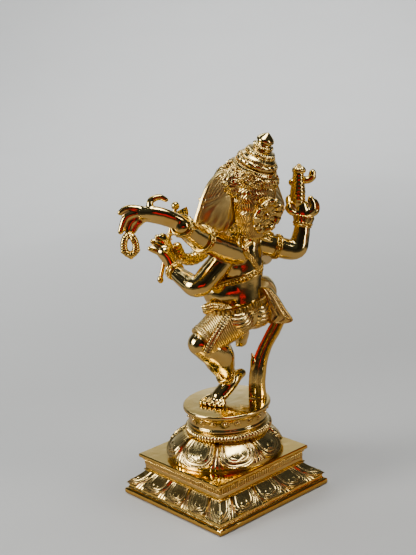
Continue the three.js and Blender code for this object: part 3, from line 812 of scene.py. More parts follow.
def leg_surfaces():
    """Both legs with their feet: the left one stands on its toes, the right one hangs from a raised knee."""
    made = []
    hip, knee, ankle = leg("standing")
    out = unit(np.cross(knee - hip, ankle - knee))
    back = unit(np.cross(out, ankle - knee))
    if back @ (knee - hip) > 0:
        back = -back
    calf = knee * 0.62 + ankle * 0.38 + back * 4.2
    thigh = [hip, hip * 0.5 + knee * 0.5, knee + unit(knee - hip) * -1]
    made.append(tube(thigh, [11.4, 11.0, 9.8, 8.3, 7.4], 36, 40))
    made.append(blob(knee, 7.2, 7.0, 7.4))
    shin = [knee, calf, knee * 0.32 + ankle * 0.68 + back * 2.8, ankle]
    made.append(tube(shin, [7.6, 9.3, 9.8, 9.4, 7.4, 4.7], 40, 40))
    heel, arch, ball = spot(-15.6, 5.5, 73.2), spot(-6.5, 5, 69.6), spot(2, 3, 62.6)
    sole = [heel, spot(-11, 5.4, 72.4), arch, ball]
    made.append(tube(sole, [3.2, 4.7, 5.2, 5.2, 5.0], 30, 30, flat=0.86, up=(0, 1, 0)))
    made.append(tube([ankle + unit(ankle - knee) * -3, arch + [0.5, 0, -0.6]], [4.1, 4.6], 12, 28))
    for shift, reach in ((-5.4, 9.6), (-2.6, 9.4), (0.0, 8.6), (2.6, 7.4), (5.0, 6.0)):
        size = 2.2 if shift == -5.4 else 1.7
        tip = spot(reach, 3 + shift * 1.3, 59.9)
        toe = [ball + [-4, shift * 0.6, 1.4], ball + [1.2, shift * 0.95, -0.6], tip - [2.2, 0, -0.7], tip]
        made.append(tube(toe, [size, size * 1.05, size, size * 0.85], 18, 16))
        made.append(blob(tip + [-0.2, 0, -0.2], size * 1.05, size, size * 0.8, 16, 10))
    hip, knee, ankle = leg("raised")
    thigh = [hip, hip * 0.5 + knee * 0.5, knee + unit(knee - hip) * -1]
    made.append(tube(thigh, [11.4, 11.0, 9.8, 8.4, 7.6], 36, 40))
    made.append(blob(knee, 7.0, 6.8, 7.0))
    made.append(tube([knee, knee * 0.66 + ankle * 0.34, ankle], [7.2, 7.4, 6.2, 4.8, 3.9], 30, 36))
    toes = centre("raised_foot") + [-1.5, -3.5, -5.0]
    sole = [ankle + [0.6, 3.2, -0.6], ankle + [0, 1.2, -3.4], toes + [0.3, 0.8, 2.8], toes]
    made.append(tube(sole, [4.0, 5.0, 4.8, 4.0], 24, 26, flat=0.82, up=(1, 0, 0)))
    for shift in (-2.6, -1.3, 0, 1.3, 2.6):
        size = 1.3 if shift == 2.6 else 1.0
        toe = [toes + [shift, 0, 0.8], toes + [shift * 1.15, -0.8, -2.0 + abs(shift) * 0.15]]
        made.append(tube(toe, [size, size * 0.9], 8, 12))
    return made


def trunk_path():
    """The trunk's line: down from the face, over the belly and up to the figure's left."""
    return [on_head(0, 9, -1), on_head(0, 15, -5), on_head(0, 20, -12), on_head(1, 21.5, -21)] + [
        spot(-14, -17, 151), spot(-6, -18, 145.5), spot(3, -18.5, 147.5), spot(6, -19, 155)
    ]


def body_surfaces():
    """Belly, chest, back, hips, neck and head."""
    spine = [
        spot(-16, 11, 114), spot(-17, 11, 127), spot(-18, 12, 140), spot(-19.5, 14, 151), spot(-21, 15, 161)
    ]
    return [
        blob(spot(-15.5, 2.4, 127), 17.8, 17.2, 14.3),
        blob(spot(-16.4, 9.5, 143.5), 14.2, 10.8, 11.5),
        blob(spot(-11.5, 4.5, 147), 6.5, 5.5, 5.5),
        blob(spot(-22.0, 4.5, 147), 6.5, 5.5, 5.5),
        blob(spot(-15, 11.5, 114.5), 14.2, 11.0, 9.0),
        blob(spot(-8.5, 14.5, 111.5), 9.2, 8.2, 8.6),
        blob(spot(-22.5, 14.5, 111.5), 9.2, 8.2, 8.6),
        tube(spine, [12.4, 11.6, 11.0, 10.8, 9.2, 7.4], 40, 44),
        tube([spot(-6, 13, 153.4), spot(-18, 14.5, 155), spot(-30, 14, 154)], [6.4, 7.4, 6.4], 20, 32),
        blob(on_head(0, 0, 0), 12.6, 13, 13.2),
        blob(on_head(0, 6, 3), 11, 10.5, 11),
        blob(on_head(5.4, 8, 7), 6.6, 7.0, 7.0),
        blob(on_head(-5.4, 8, 7), 6.6, 7.0, 7.0),
        tube([spot(-21, 15.2, 157), spot(-21.4, 13.6, 166), on_head(0, -1, -3)], [7.4, 8.2, 10], 20, 36),
        blob(on_head(5.5, 10, -8), 4.6, 5.4, 4.4),
        blob(on_head(-5.5, 10, -8), 4.6, 5.4, 4.4),
    ]


def hug(tree, middle, up, count, lift, limit=26.0, smooth=13):
    """Points round the body in the plane through `middle` square to `up`, each `lift` mm off the outermost
    skin that lies within `limit` mm."""
    rays = loop_points((0, 0, 0), up, 1.0, count)
    reach = []
    for ray in rays:
        far = 0.0
        while far < limit:
            start = Vector((middle + ray * (far + RAY_GAP)) * MM)
            distance = tree.ray_cast(start, Vector(ray), (limit - far) * MM)[3]
            if distance is None:
                break
            far += distance / MM + RAY_GAP
        reach.append(far)
    reach = np.array(reach)
    reach[reach < 0.5] = np.median(reach)
    half = smooth // 2
    wide = np.concatenate([reach[-half:], reach, reach[:half]])
    reach = np.convolve(wide, np.ones(smooth) / smooth, "valid")
    return middle + rays * (reach + lift)[:, None]


def hug_path(tree, points, count, lift):
    """A path laid on the skin: each point goes to the nearest skin and `lift` mm off it."""
    out = []
    for point in smooth_path(points, count):
        place, normal, _, _ = tree.find_nearest(Vector(point * MM))
        out.append(np.array(place) / MM + np.array(normal) * lift)
    out = np.array(out)
    for _ in range(4):
        out[1:-1] = 0.25 * out[:-2] + 0.5 * out[1:-1] + 0.25 * out[2:]
    return out


def cord_ring(points, wire, relief=None):
    """A closed cord through a ring of points."""
    ahead = np.roll(points, -1, 0) - np.roll(points, 1, 0)
    ahead /= np.linalg.norm(ahead, axis=1)[:, None]
    out = points - points.mean(0)
    out -= ahead * (out * ahead).sum(1)[:, None]
    out /= np.linalg.norm(out, axis=1)[:, None]
    other = np.cross(ahead, out)
    turn = np.arange(CORD_STEPS) / CORD_STEPS * 2 * math.pi
    u = np.arange(len(points)) / len(points)
    size = (wire * (1 + (0 if relief is None else relief(u))) * np.ones(len(points)))[:, None, None]
    section = out[:, None] * np.cos(turn)[None, :, None] + other[:, None] * np.sin(turn)[None, :, None]
    return ring_surface(points[:, None] + section * size, closed_rows=True)


def even(points, spacing, closed=True):
    """Points at an even spacing along a line."""
    line = np.vstack([points, points[:1]]) if closed else np.asarray(points)
    length = np.concatenate([[0], np.cumsum(np.linalg.norm(np.diff(line, axis=0), axis=1))])
    count = max(int(length[-1] / spacing), 2)
    at = np.linspace(0, length[-1], count, endpoint=not closed)
    return np.stack([np.interp(at, length, line[:, k]) for k in range(3)], 1)


def cloth_sleeve(start, end, radii, facing):
    """A short cloth leg round a thigh: sagging lines across it, a panel of chased flowers, and a banded hem.
    u = 0 faces `facing`."""

    def folds(u, v):
        panel = rise(u, 0.13, 0.15) * (1 - rise(u, 0.47, 0.49)) * rise(v, 0.06, 0.1)
        sag = 19 * v - 2.6 * np.cos(2 * math.pi * (u - 0.88)) + 0.25 * np.sin(2 * math.pi * 5 * u)
        cross = 0.62 * np.abs(np.sin(math.pi * sag)) ** 0.7
        x, y = (40 * u) % 1 - 0.5, (15 * v + 0.5 * (np.floor(40 * u) % 2)) % 1 - 0.5
        far, angle = np.sqrt(x * x + y * y), np.arctan2(y, x)
        flower = 0.4 * bump(far, 0, 0.14) + 0.32 * bump(far, 0.3 + 0.06 * np.cos(5 * angle), 0.09)
        border = 0.55 * (bump(u, 0.14, 0.006) + bump(u, 0.48, 0.006))
        body = (cross * (1 - panel) + (flower + border + 0.5) * panel) * (1 - rise(v, 0.82, 0.84))
        hem = 0.9 * rise(v, 0.83, 0.85) + 0.35 * bump(v, 0.86, 0.01) + 0.4 * bump(v, 0.97, 0.016)
        return body + hem + 0.3 * np.abs(np.sin(math.pi * 44 * u)) * bump(v, 0.915, 0.025)

    points = [start, start * 0.5 + end * 0.5, end]
    return tube(points, radii, 180, 320, folds, rounded=False, up=facing)


def pleated_ball(middle, radii, facing, count, depth, around=220, rows=130):
    """A rounded piece of cloth with pleats that sag like smiles below the direction `facing`."""
    lat = np.linspace(-0.5, 0.5, rows + 2)[1:-1, None] * math.pi
    start = math.atan2(facing[1], facing[0])
    lon = np.linspace(-math.pi, math.pi, around, endpoint=False)[None, :]
    sag = lat / math.pi - 0.16 * (lon / 1.2) ** 2
    lift = (
        depth * np.abs(np.sin(math.pi * count * sag)) ** 0.8
        + depth * 0.16 * np.sin(2 * math.pi * count * 4 * sag)
    )
    grow = 1 + lift * np.cos(lat) / min(radii)
    turn = lon + start
    ball = np.stack(
        [
            radii[0] * np.cos(lat) * np.cos(turn), radii[1] * np.cos(lat) * np.sin(turn),
            radii[2] * np.sin(lat) + 0 * turn
        ],
        -1
    )
    return ring_surface(ball * grow[..., None] + middle)


def fan_plate(root, tips, thickness, relief, bow, rows=60, cols=70):
    """A thin fan: `root` and `tips` are two curves, joined by straight spokes that bow out by `bow` mm.
    relief(a, b) lifts its outer face, a from 0 to 1 across the fan and b from 0 at the root to 1 at tips."""
    r, t = smooth_path(root, rows), smooth_path(tips, rows)
    b = np.linspace(0, 1, cols)[None, :, None]
    sheet = r[:, None] * (1 - b) + t[:, None] * b
    normal = np.cross(np.gradient(sheet, axis=0), np.gradient(sheet, axis=1))
    normal /= np.maximum(np.linalg.norm(normal, axis=2), 1e-6)[..., None]
    a, b = np.linspace(0, 1, rows)[:, None], b[..., 0]
    arch = bow * np.sin(math.pi * b) * np.ones_like(a)
    thin = thickness * (0.35 + 0.65 * np.sqrt(np.clip(1 - (2 * b - 1) ** 8, 0, 1))) * np.ones_like(a)
    front = sheet + normal * (arch + thin / 2 + relief(a, b))[..., None]
    back = sheet + normal * (arch - thin / 2 + 0.4 * relief(a, b))[..., None]
    return ring_surface(np.concatenate([front, back[:, ::-1]], axis=1))


def leaf(middle, across, along, outline, dome, thick, relief, around, rows, focus):
    """A closed leaf `thick` mm thick: an outline in (across, along) mm filled from its focus and domed.
    relief(x, y, s) lifts both faces, s from 0 at the focus to 1 at the rim."""
    across = unit(across)
    along = unit(along - across * (across @ along))
    out = np.cross(across, along)
    rim = smooth_path([(x, y, 0) for x, y in [*outline, outline[0]]], around + 1)[:-1, :2]
    s = np.sin(np.linspace(0.02, 1, rows) * math.pi / 2)[:, None]
    x = focus[0] + (rim[None, :, 0] - focus[0]) * s
    y = focus[1] + (rim[None, :, 1] - focus[1]) * s
    shape = dome * (1 - s**2) + 0 * x
    edge = thick * np.sqrt(np.clip(1 - s**6, 0, 1)) + 0 * x
    lift = relief(x, y, s)
    front = shape + edge * 0.5 + lift
    back = shape * 0.85 - edge * 0.5 - lift
    x, y, h = np.vstack([x, x[::-1]]), np.vstack([y, y[::-1]]), np.vstack([front, back[::-1]])
    return ring_surface(middle + across * x[..., None] + along * y[..., None] + out * h[..., None])


def crown_surfaces():
    """The stepped crown: rim, leaf band, and smooth and beaded steps up to the bud."""
    foot, squat = on_head(0, 1.5, 14.2), 0.835
    toward = unit([0.80, 0.60, -0.05])

    def relief(u, v):
        cell = ((11 * u) % 1 - 0.5) * 2
        q = (0.42 - v) / 0.27
        leaf = petal(cell, np.clip(1 - q, 0, 1), 0.8) * rise(v, 0.13, 0.16) * (1 - rise(v, 0.4, 0.42))
        band = rise(v, 0.12, 0.15) * (1 - rise(v, 0.42, 0.44))
        hatch = 0.2 * np.sin(2 * math.pi * (70 * u + 14 * v)) * band
        small = ((16 * u) % 1 - 0.5) * 2
        upper = 0.5 * rise(0.9 - np.abs(small) - 6 * np.maximum(v - 0.62, 0), 0, 0.3) * bump(v, 0.605, 0.045)
        third = 0.45 * np.abs(np.sin(math.pi * 14 * u)) * bump(v, 0.77, 0.03)
        lines = sum(
            0.35 * np.abs(np.sin(math.pi * n * u)) * bump(v, at, 0.014)
            for n, at in ((56, 0.475), (48, 0.66), (40, 0.82))
        )
        return leaf * 0.9 + hatch + upper + third + lines

    outline = [
        (12.0, -0.8), (14.6, -0.4), (15.5, 0.8), (15.4, 2.2), (14.4, 2.9), (15.3, 4.6), (15.6, 7.2),
        (14.6, 9.8)
    ]
    outline += [
        (13.3, 10.8), (13.9, 12.0), (13.0, 13.8), (11.6, 14.6), (12.4, 16.2), (12.0, 18.2), (10.4, 19.4)
    ]
    outline += [
        (10.6, 20.8), (9.0, 22.4), (8.2, 23.2), (8.6, 24.6), (7.2, 26.0), (5.6, 26.8), (5.8, 28.0),
        (3.0, 28.6)
    ]
    outline = [(r, h * squat) for r, h in outline]
    made = [revolve(outline, foot, CROWN_UP, 340, 200, relief, toward)]
    for height, radius, count, size in ((2.6, 15.0, 64, 0.62), (14.2, 12.5, 48, 0.6), (22.9, 8.9, 34, 0.55)):
        row = loop_points(foot + CROWN_UP * height * squat, CROWN_UP, radius, count, toward)
        made.append(beads(row, size, 8, 5))
    face = unit(toward - CROWN_UP * (toward @ CROWN_UP))
    heart = foot + CROWN_UP * 6.4 + face * 16.0
    medal = [
        (0.3, 1.5), (1.0, 1.3), (1.5, 0.7), (2.1, 1.1), (2.7, 1.0), (3.2, 0.4), (4.2, 0.5), (5.4, 0.1),
        (5.6, -0.6)
    ]

    def rays(u, v):
        return 0.35 * np.cos(2 * math.pi * 22 * u) * rise(v, 0.55, 0.68)

    made.append(revolve(medal, heart - face * 0.4, face, 180, 40, rays, CROWN_UP))
    made.append(beads(loop_points(heart + face * 0.6, face, 3.3, 16, CROWN_UP), 0.42, 8, 5))
    return made


def dome_caps():
    """The curl-covered domes of the brow under the crown: one on each side and a smaller one ahead."""

    def curls(u, v):
        swirl = np.abs(np.sin(math.pi * (15 * u + 1.6 * np.sin(2 * math.pi * 3 * v))))
        return (
            0.5 * swirl * np.abs(np.sin(math.pi * 11 * v)) ** 0.7
            + 0.22 * np.sin(2 * math.pi * (38 * u + 26 * v))
        )

    made = []
    left, front, up = head_frame()
    for side, reach, ahead, size in ((1, 9.2, 5.5, 1.12), (-1, -9.2, 5.5, 1.12), (0, 0, 8.6, 0.92)):
        middle = on_head(reach, ahead, 13.6)
        outline = [(0.3, -9.6), (5.4, -8.2), (8.6, -4.8), (9.8, 0), (8.8, 4.8), (5.6, 8.2), (0.3, 9.6)]
        outline = [(r * size, h * size) for r, h in outline]
        lean = unit(up + left * side * 0.7 + front * 0.3)
        made.append(revolve(outline, middle, lean, 190, 76, curls, front))
    return made


def hair_surface():
    """Long wavy strands down the back of the head to the neck."""
    low, high = spot(-21.2, 16.2, 160.5), on_head(0, -1.2, 14.4)

    def strands(u, v):
        wave = 46 * u + 0.8 * np.sin(2 * math.pi * (2.6 * v + 3 * u)) + 0.35 * np.sin(2 * math.pi * 7 * v)
        return 0.42 * np.abs(np.sin(math.pi * wave)) ** 0.8 - 0.2

    return tube(
        [low, low * 0.5 + high * 0.5 + [0.4, 1.0, 0], high], [8.4, 10.4, 12.4, 13.6, 14.4], 120, 300, strands,
        rounded=False
    )


def ear_surface(side):
    """A broad fan ear, hollowed a little: wavy rows of scales above, fine veins and pleats towards its
    scalloped lower edge, and a raised rim."""
    points = corners("left_ear" if side > 0 else "right_ear")
    thin = np.linalg.svd(points - points.mean(0), full_matrices=False)[2][2]
    across, along = square_to(thin, [0.965 * side, -0.25, 0.04])
    along = along if along[2] > 0 else -along
    outline = [
        (-3, 13), (2, 16), (8, 16), (14.5, 11), (19, 4), (22.5, -4), (25.6, -12), (25.2, -16.5), (21.5, -18.6)
    ]
    outline += [
        (19, -21.4), (15.4, -20.6), (12.6, -23), (9, -21.4), (5.4, -22.4), (2, -17.5), (-1.4, -12), (-3, 0)
    ]

    def comb(x, y, s):
        angle = np.arctan2(y - 8, x + 4)
        rows = np.sin(3.1 * (y + 0.05 * x**2 * side) + 0.9 * np.sin(0.8 * x))
        inside = 1 - rise(s, 0.9, 0.96)
        scales = 0.22 * rows * rise(y, 0, 7) * rise(s, 0.05, 0.2) * inside
        veins = 0.2 * np.sin(34 * angle + 1.5 * np.sin(0.4 * y)) * rise(s, 0.3, 0.6) * (1 - rise(y, 0, 7))
        pleat = 0.6 * np.abs(np.sin(24 * angle)) * rise(-y, 8, 14) * rise(s, 0.55, 0.8)
        fine = scales + veins * inside
        return fine + pleat + 0.8 * bump(s, 0.955, 0.03) + 0.35 * bump(s, 0.87, 0.02)

    middle = on_head(11.5 * side, 1.5, 5.5) + thin * np.sign(thin[1]) * 1.5
    outline = [(x * side, y) for x, y in outline]
    return leaf(middle, across * side, along, outline, -3.0, 2.2, comb, 300, 75, (3 * side, 0))


def wheel_surfaces():
    """The wheel behind the head: a raised beaded rim round a flower of twelve petals, and its hub."""
    face = unit(centre("wheel_boss") - centre("wheel_stem"))
    middle = centre("halo_wheel") + face * 1.6

    def flower(u, v):
        petals = np.abs(np.cos(math.pi * 12 * u))
        inner = bump(v, 0.2, 0.08) * petals * 0.9
        outer = rise(
            petals - 0.3 - 2.4 * np.maximum(v - 0.42, 0), 0, 0.25
        ) * rise(v, 0.22, 0.28) * (1 - rise(v, 0.5, 0.56))
        rim = 0.25 * np.sin(2 * math.pi * 44 * u) * bump(v, 0.72, 0.05)
        return inner * 0.4 + outer + rim

    outline = [
        (0.3, 1.0), (1.6, 0.9), (2.2, 0.3), (3.4, 0.5), (5.6, 0.5), (6.6, 0.0), (7.2, 0.2), (7.6, 1.2),
        (8.8, 1.7), (10.0, 1.3)
    ]
    outline += [(10.6, 0.3), (10.5, -0.8), (9.2, -1.4), (6.0, -1.6), (0.3, -1.6)]
    made = [revolve(outline, middle, face, 260, 120, flower, (0, 0, 1))]
    made.append(beads(loop_points(middle + face * 1.5, face, 9.4, 40, (0, 0, 1)), 0.5, 8, 5))
    hub = [(0.2, 2.9), (1.0, 2.6), (1.5, 1.8), (1.2, 1.2), (1.9, 0.8), (2.1, 0.4), (0.2, 0.2)]
    return made, revolve(hub, middle, face, 40, 24, None, (0, 0, 1))


def ring_of(name):
    """Middle, axis and mean radius of a ring-shaped CAD node."""
    points = corners(name)
    middle = centre(name)
    axis = np.linalg.svd(points - points.mean(0), full_matrices=False)[2][2]
    axis = axis if axis[2] > 0 else -axis
    away = points - middle
    away = away - np.outer(away @ axis, axis)
    return middle, axis, float(np.linalg.norm(away, axis=1).mean())


def belt_ring(points, up, tall, thick, relief):
    """A flat closed band through a ring of points. relief(u, w) lifts its outer face, with w from -1 at its
    foot to 1 at its head."""
    up = unit(up)
    ahead = np.roll(points, -1, 0) - np.roll(points, 1, 0)
    out = np.cross(ahead, up)
    out /= np.linalg.norm(out, axis=1)[:, None]
    out *= np.sign(((points - points.mean(0)) * out).sum())
    u, w = np.arange(len(points)) / len(points), np.linspace(-1, 1, 21)
    lift = thick * np.sqrt(np.clip(1 - w**8, 0, 1))[None, :] + relief(u[:, None], w[None, :])
    outer = points[:, None] + up * (w * tall / 2)[None, :, None] + out[:, None] * lift[..., None]
    inner = points[:, None] + up * (w[::-1][1:-1] * tall / 2)[None, :, None] - out[:, None] * thick
    return ring_surface(np.concatenate([outer, inner], 1), closed_rows=True)


def skin_tree(*names):
    """A search tree of finished skins, to lay dress and jewellery on."""
    vertices, faces, count = [], [], 0
    for name in names:
        mesh = bpy.data.objects[name].data
        mesh.calc_loop_triangles()
        flat = np.empty(len(mesh.vertices) * 3, np.float32)
        mesh.vertices.foreach_get("co", flat)
        triangles = np.empty(len(mesh.loop_triangles) * 3, np.int32)
        mesh.loop_triangles.foreach_get("vertices", triangles)
        vertices.append(flat.reshape(-1, 3))
        faces.append(triangles.reshape(-1, 3) + count)
        count += len(mesh.vertices)
    return BVHTree.FromPolygons(np.vstack(vertices).tolist(), np.vstack(faces).tolist())


def ribbon(path, width, thick, relief, up, count=90, across=21):
    """A flat ribbon along a path. relief(u, w) lifts its outer face, with u from 0 to 1 along and w from -1
    to 1 across."""
    line = smooth_path(path, count)
    _, sides, others = path_frames(line, up)
    u, w = np.linspace(0, 1, count), np.linspace(-1, 1, across)
    wide = np.interp(u, np.linspace(0, 1, len(width)), width)[:, None]
    lift = thick * np.sqrt(np.clip(1 - w**8, 0, 1))[None, :] + relief(u[:, None], w[None, :])
    outer = (
        line[:, None] + others[:, None] * (w[None, :] * wide / 2)[..., None]
        + sides[:, None] * lift[..., None]
    )
    back = w[::-1][1:-1]
    inner = (
        line[:, None] + others[:, None] * (back[None, :] * wide / 2)[..., None] - sides[:, None] * thick * 0.6
    )
    return ring_surface(np.concatenate([outer, inner], 1))


def bangle(tree, name, wire=0.8, leafy=0.0):
    """A bangle laid on the skin: two plain wires with a row of beads between them, and a cup of small leaves
    that stand `leafy` mm proud where that isn't 0."""
    middle, up, radius = ring_of(name)
    line = hug(tree, middle, up, 72, wire * 0.4, limit=radius + 3.5, smooth=31)
    made = [cord_ring(line + up * s * wire * 1.9, wire) for s in (-1, 1)]
    out = line - line.mean(0)
    out /= np.linalg.norm(out, axis=1)[:, None]
    made.append(beads(even(line + out * 0.3, wire * 2.5), wire * 1.15, 10, 6))
    if leafy:

        def leaves(u, w):
            return leafy * np.abs(np.sin(math.pi * 9 * u)) * rise(w, -1, 0.9)

        made.append(belt_ring(even(line + up * 2.0, 0.35), up, 5.6, 0.7, leaves))
    return made


class STATUE_OT_body(bpy.types.Operator):
    """Builds the smooth skin: body, head, arms and hands as one casting, and hips and legs as another"""

    bl_idname = "statue.body"
    bl_label = "Build body"

    def execute(self, context):
        look = context.scene.statue_figure
        polished = material(context, "polished")
        nodes = ["torso", "head"]
        for side in ("front_left", "front_right", "rear_left", "rear_right"):
            nodes += [side + "_upper_arm", side + "_forearm", side + "_hand"]
        fused(
            "skin_body", body_surfaces() + arms_and_hands(), polished, nodes, look.skin_cell / MM, look.polish
        )
        nodes = ["hips"] + [s + part for s in ("standing_", "raised_") for part in ("thigh", "shin", "foot")]
        fused("skin_legs", leg_surfaces(), polished, nodes, look.skin_cell / MM, look.polish)
        return {"FINISHED"}


class STATUE_OT_head(bpy.types.Operator):
    """Builds trunk, tusks, ears, hair, eyes and the wheel behind the head"""

    bl_idname = "statue.head"
    bl_label = "Build head"

    def execute(self, context):
        polished, chased = material(context, "polished"), material(context, "chased")

        def rings(u, v):
            return 0.3 * np.abs(np.cos(math.pi * 24 * v)) * rise(v, 0.1, 0.3)

        trunk = tube(trunk_path(), [8.2, 7.7, 6.9, 6.1, 5.3, 4.6, 4.0, 3.4, 2.9], 200, 48, rings)
        piece("trunk_skin", trunk, polished, ["trunk"])
        left = tube(
            [on_head(6.5, 10, -6.5), on_head(9, 19, -10), on_head(10, 24, -8)], [2.0, 1.7, 0.9], 30, 20
        )
        right = tube([on_head(-6.5, 10, -6.5), on_head(-8.5, 18, -9.6)], [2.0, 1.7], 16, 20)
        piece("tusk_left", left, polished, ["left_tusk"])
        piece("tusk_right", right, polished, ["right_tusk"])
        worn = material(context, "worn")
        piece("ear_left", ear_surface(1), worn, ["left_ear"], 60)
        piece("ear_right", ear_surface(-1), worn, ["right_ear"], 60)
        piece("hair", hair_surface(), chased, (), 60)
        eyes = []
        for side in (1, -1):
            rim = [
                on_head(side * x, y, z)
                for x, y, z in ((10.6, 9.5, 0.2), (9.6, 12.6, 1.6), (7.6, 15.4, 0.6), (9.4, 13.6, -1.2))
            ]
            eyes.append(cord_ring(smooth_path(rim + rim[:1], 40)[:-1], 0.5))
            eyes.append(blob(on_head(side * 8.8, 12.4, 0.2), 1.6, 1.6, 1.3, 16, 10))
        piece("eyes", combine(eyes), polished)
        rim, hub = wheel_surfaces()
        piece("wheel", combine(rim), chased, ["halo_wheel"], 60)
        piece("wheel_hub", hub, polished, ["wheel_boss"])
        stem = tube(axis_line("wheel_stem", HEAD), [1.6, 1.6], 8, 16)
        piece("wheel_stem_rod", stem, polished, ["wheel_stem"])
        return {"FINISHED"}


class STATUE_OT_crown(bpy.types.Operator):
    """Builds the stepped crown with its medallion and bud, and the curls of the brow"""

    bl_idname = "statue.crown"
    bl_label = "Build crown"

    def execute(self, context):
        polished, chased = material(context, "polished"), material(context, "chased")
        piece("crown_wall", combine(crown_surfaces()), chased, ["crown"], 60)
        piece("brow_curls", combine(dome_caps()), chased, (), 60)
        foot = on_head(0, 1.5, 9.5)
        bud = [
            (4.9, 27.4), (5.9, 28.4), (6.0, 29.4), (4.6, 30.2), (4.3, 31.0), (5.2, 32.2), (5.0, 33.6),
            (3.4, 35.2), (1.6, 36.6), (0.3, 37.4)
        ]

        def knurl(u, v):
            return 0.22 * np.cos(2 * math.pi * 30 * u) * bump(v, 0.16, 0.07)

        piece("bud", revolve(bud, foot, CROWN_UP, 180, 70, knurl), polished, ["crown_bud"])
        return {"FINISHED"}


class STATUE_OT_jewels(bpy.types.Operator):
    """Builds bangles, armlets, anklets, collar, waist band, belt, sacred thread, nape curls and ear chain"""

    bl_idname = "statue.jewels"
    bl_label = "Build jewellery"

    def execute(self, context):
        chased = material(context, "chased")
        tree = skin_tree("skin_body", "skin_legs")
        for side, leafy in (
            ("front_left", 0.0), ("front_right", 0.0), ("rear_left", 0.0), ("rear_right", 1.0)
        ):
            piece(
                side + "_cuff", combine(bangle(tree, side + "_bangle", leafy=leafy)), chased,
                [side + "_bangle"], 60
            )
        piece(
            "rear_left_armband", combine(bangle(tree, "rear_left_armlet", 0.85)), chased,
            ["rear_left_armlet"], 60
        )
        piece(
            "rear_right_armband", combine(bangle(tree, "rear_right_armlet", 0.7)), chased,
            ["rear_right_armlet"], 60
        )
        for side in ("standing", "raised"):
            piece(
                side + "_ankle_beads", combine(bangle(tree, side + "_anklet", 0.7)), chased,
                [side + "_anklet"], 60
            )
        middle, up, _ = ring_of("collar")
        round_neck = hug(tree, middle, up, 90, 0.4)
        strings = [
            beads(even(round_neck, 1.75), 0.95, 10, 6), cord_ring(round_neck - up * 1.2, 0.4),
            cord_ring(round_neck + up * 1.2, 0.4)
        ]
        piece("necklace", combine(strings), chased, ["collar"], 60)
        middle, up, _ = ring_of("waist_band")
        up = unit(up + np.array([0.17, -0.15, 0.02]))
        waist = hug(tree, middle + [0, 0, 2.2], up, 140, 0.5)
        made = [
            beads(even(waist, 2.2), 1.2, 12, 8), cord_ring(waist - up * 1.7, 0.55),
            cord_ring(waist + up * 1.7, 0.55)
        ]
        piece("waist_beads", combine(made), chased, ["waist_band"], 60)
        middle, up, _ = ring_of("hip_belt")
        clothed = skin_tree("skin_body", "skin_legs", "cloth_seat", "cloth_left", "cloth_right")
        belt = hug(clothed, middle + up * 1.6, up, 480, 0.1, limit=22.0, smooth=61)

        def squares(u, w):
            cell = rise(np.abs(np.sin(math.pi * 50 * u)), 0.25, 0.7)
            return 1.3 * cell * rise(0.66 - np.abs(w), 0, 0.12) + 0.9 * bump(np.abs(w), 0.9, 0.08) - 0.3

        piece("belt_beads", belt_ring(belt, up, 4.8, 0.9, squares), chased, ["hip_belt"], 60)

        def lay(u, v):
            return 0.12 * np.sin(2 * math.pi * (60 * v + u))

        threads = []
        for shift in (-1.3, 0, 1.3):
            way = [
                spot(-9 + shift, 7, 158), spot(-9.5 + shift, 16, 159), spot(-13 + shift, 24, 151),
                spot(-19.5 + shift, 26, 142), spot(-29 + shift, 18, 134.5)
            ]
            threads.append(tube(hug_path(tree, way, 60, 0.35), [0.62, 0.62], 90, 12, lay))
        piece("thread", combine(threads), chased, (), 60)

        def hairs(u, v):
            return 0.14 * np.cos(2 * math.pi * 5 * u)

        locks = []
        middle, up, _ = ring_of("collar")
        for step, turn in enumerate(np.radians(np.arange(-38, 200, 17.0))):
            ray = np.array([math.cos(turn), math.sin(turn), 0.0])
            curl = np.array([-ray[1], ray[0], 0.0]) * (1 if step % 2 else -1)
            way = [middle + ray * 7.5 + up * 2, middle + ray * 10.5]
            way += [middle + ray * 13.6 - up * 1.6 + curl * 0.6, middle + ray * 15.6 - up * 3.0 + curl * 1.9]
            locks.append(tube(hug_path(tree, way, 30, 0.25), [1.5, 1.7, 1.4, 0.7], 40, 16, hairs, flat=0.7))
        piece("nape_locks", combine(locks), chased, (), 60)
        chain = [
            spot(-5.6, 15.4, 190.5), spot(-7.0, 14.4, 184.0), spot(-7.8, 12.6, 177.5), spot(-8.6, 11.6, 172.0)
        ]
        piece("ear_chain", beads(even(smooth_path(chain, 60), 1.9, False), 1.0, 12, 8), chased)
        return {"FINISHED"}


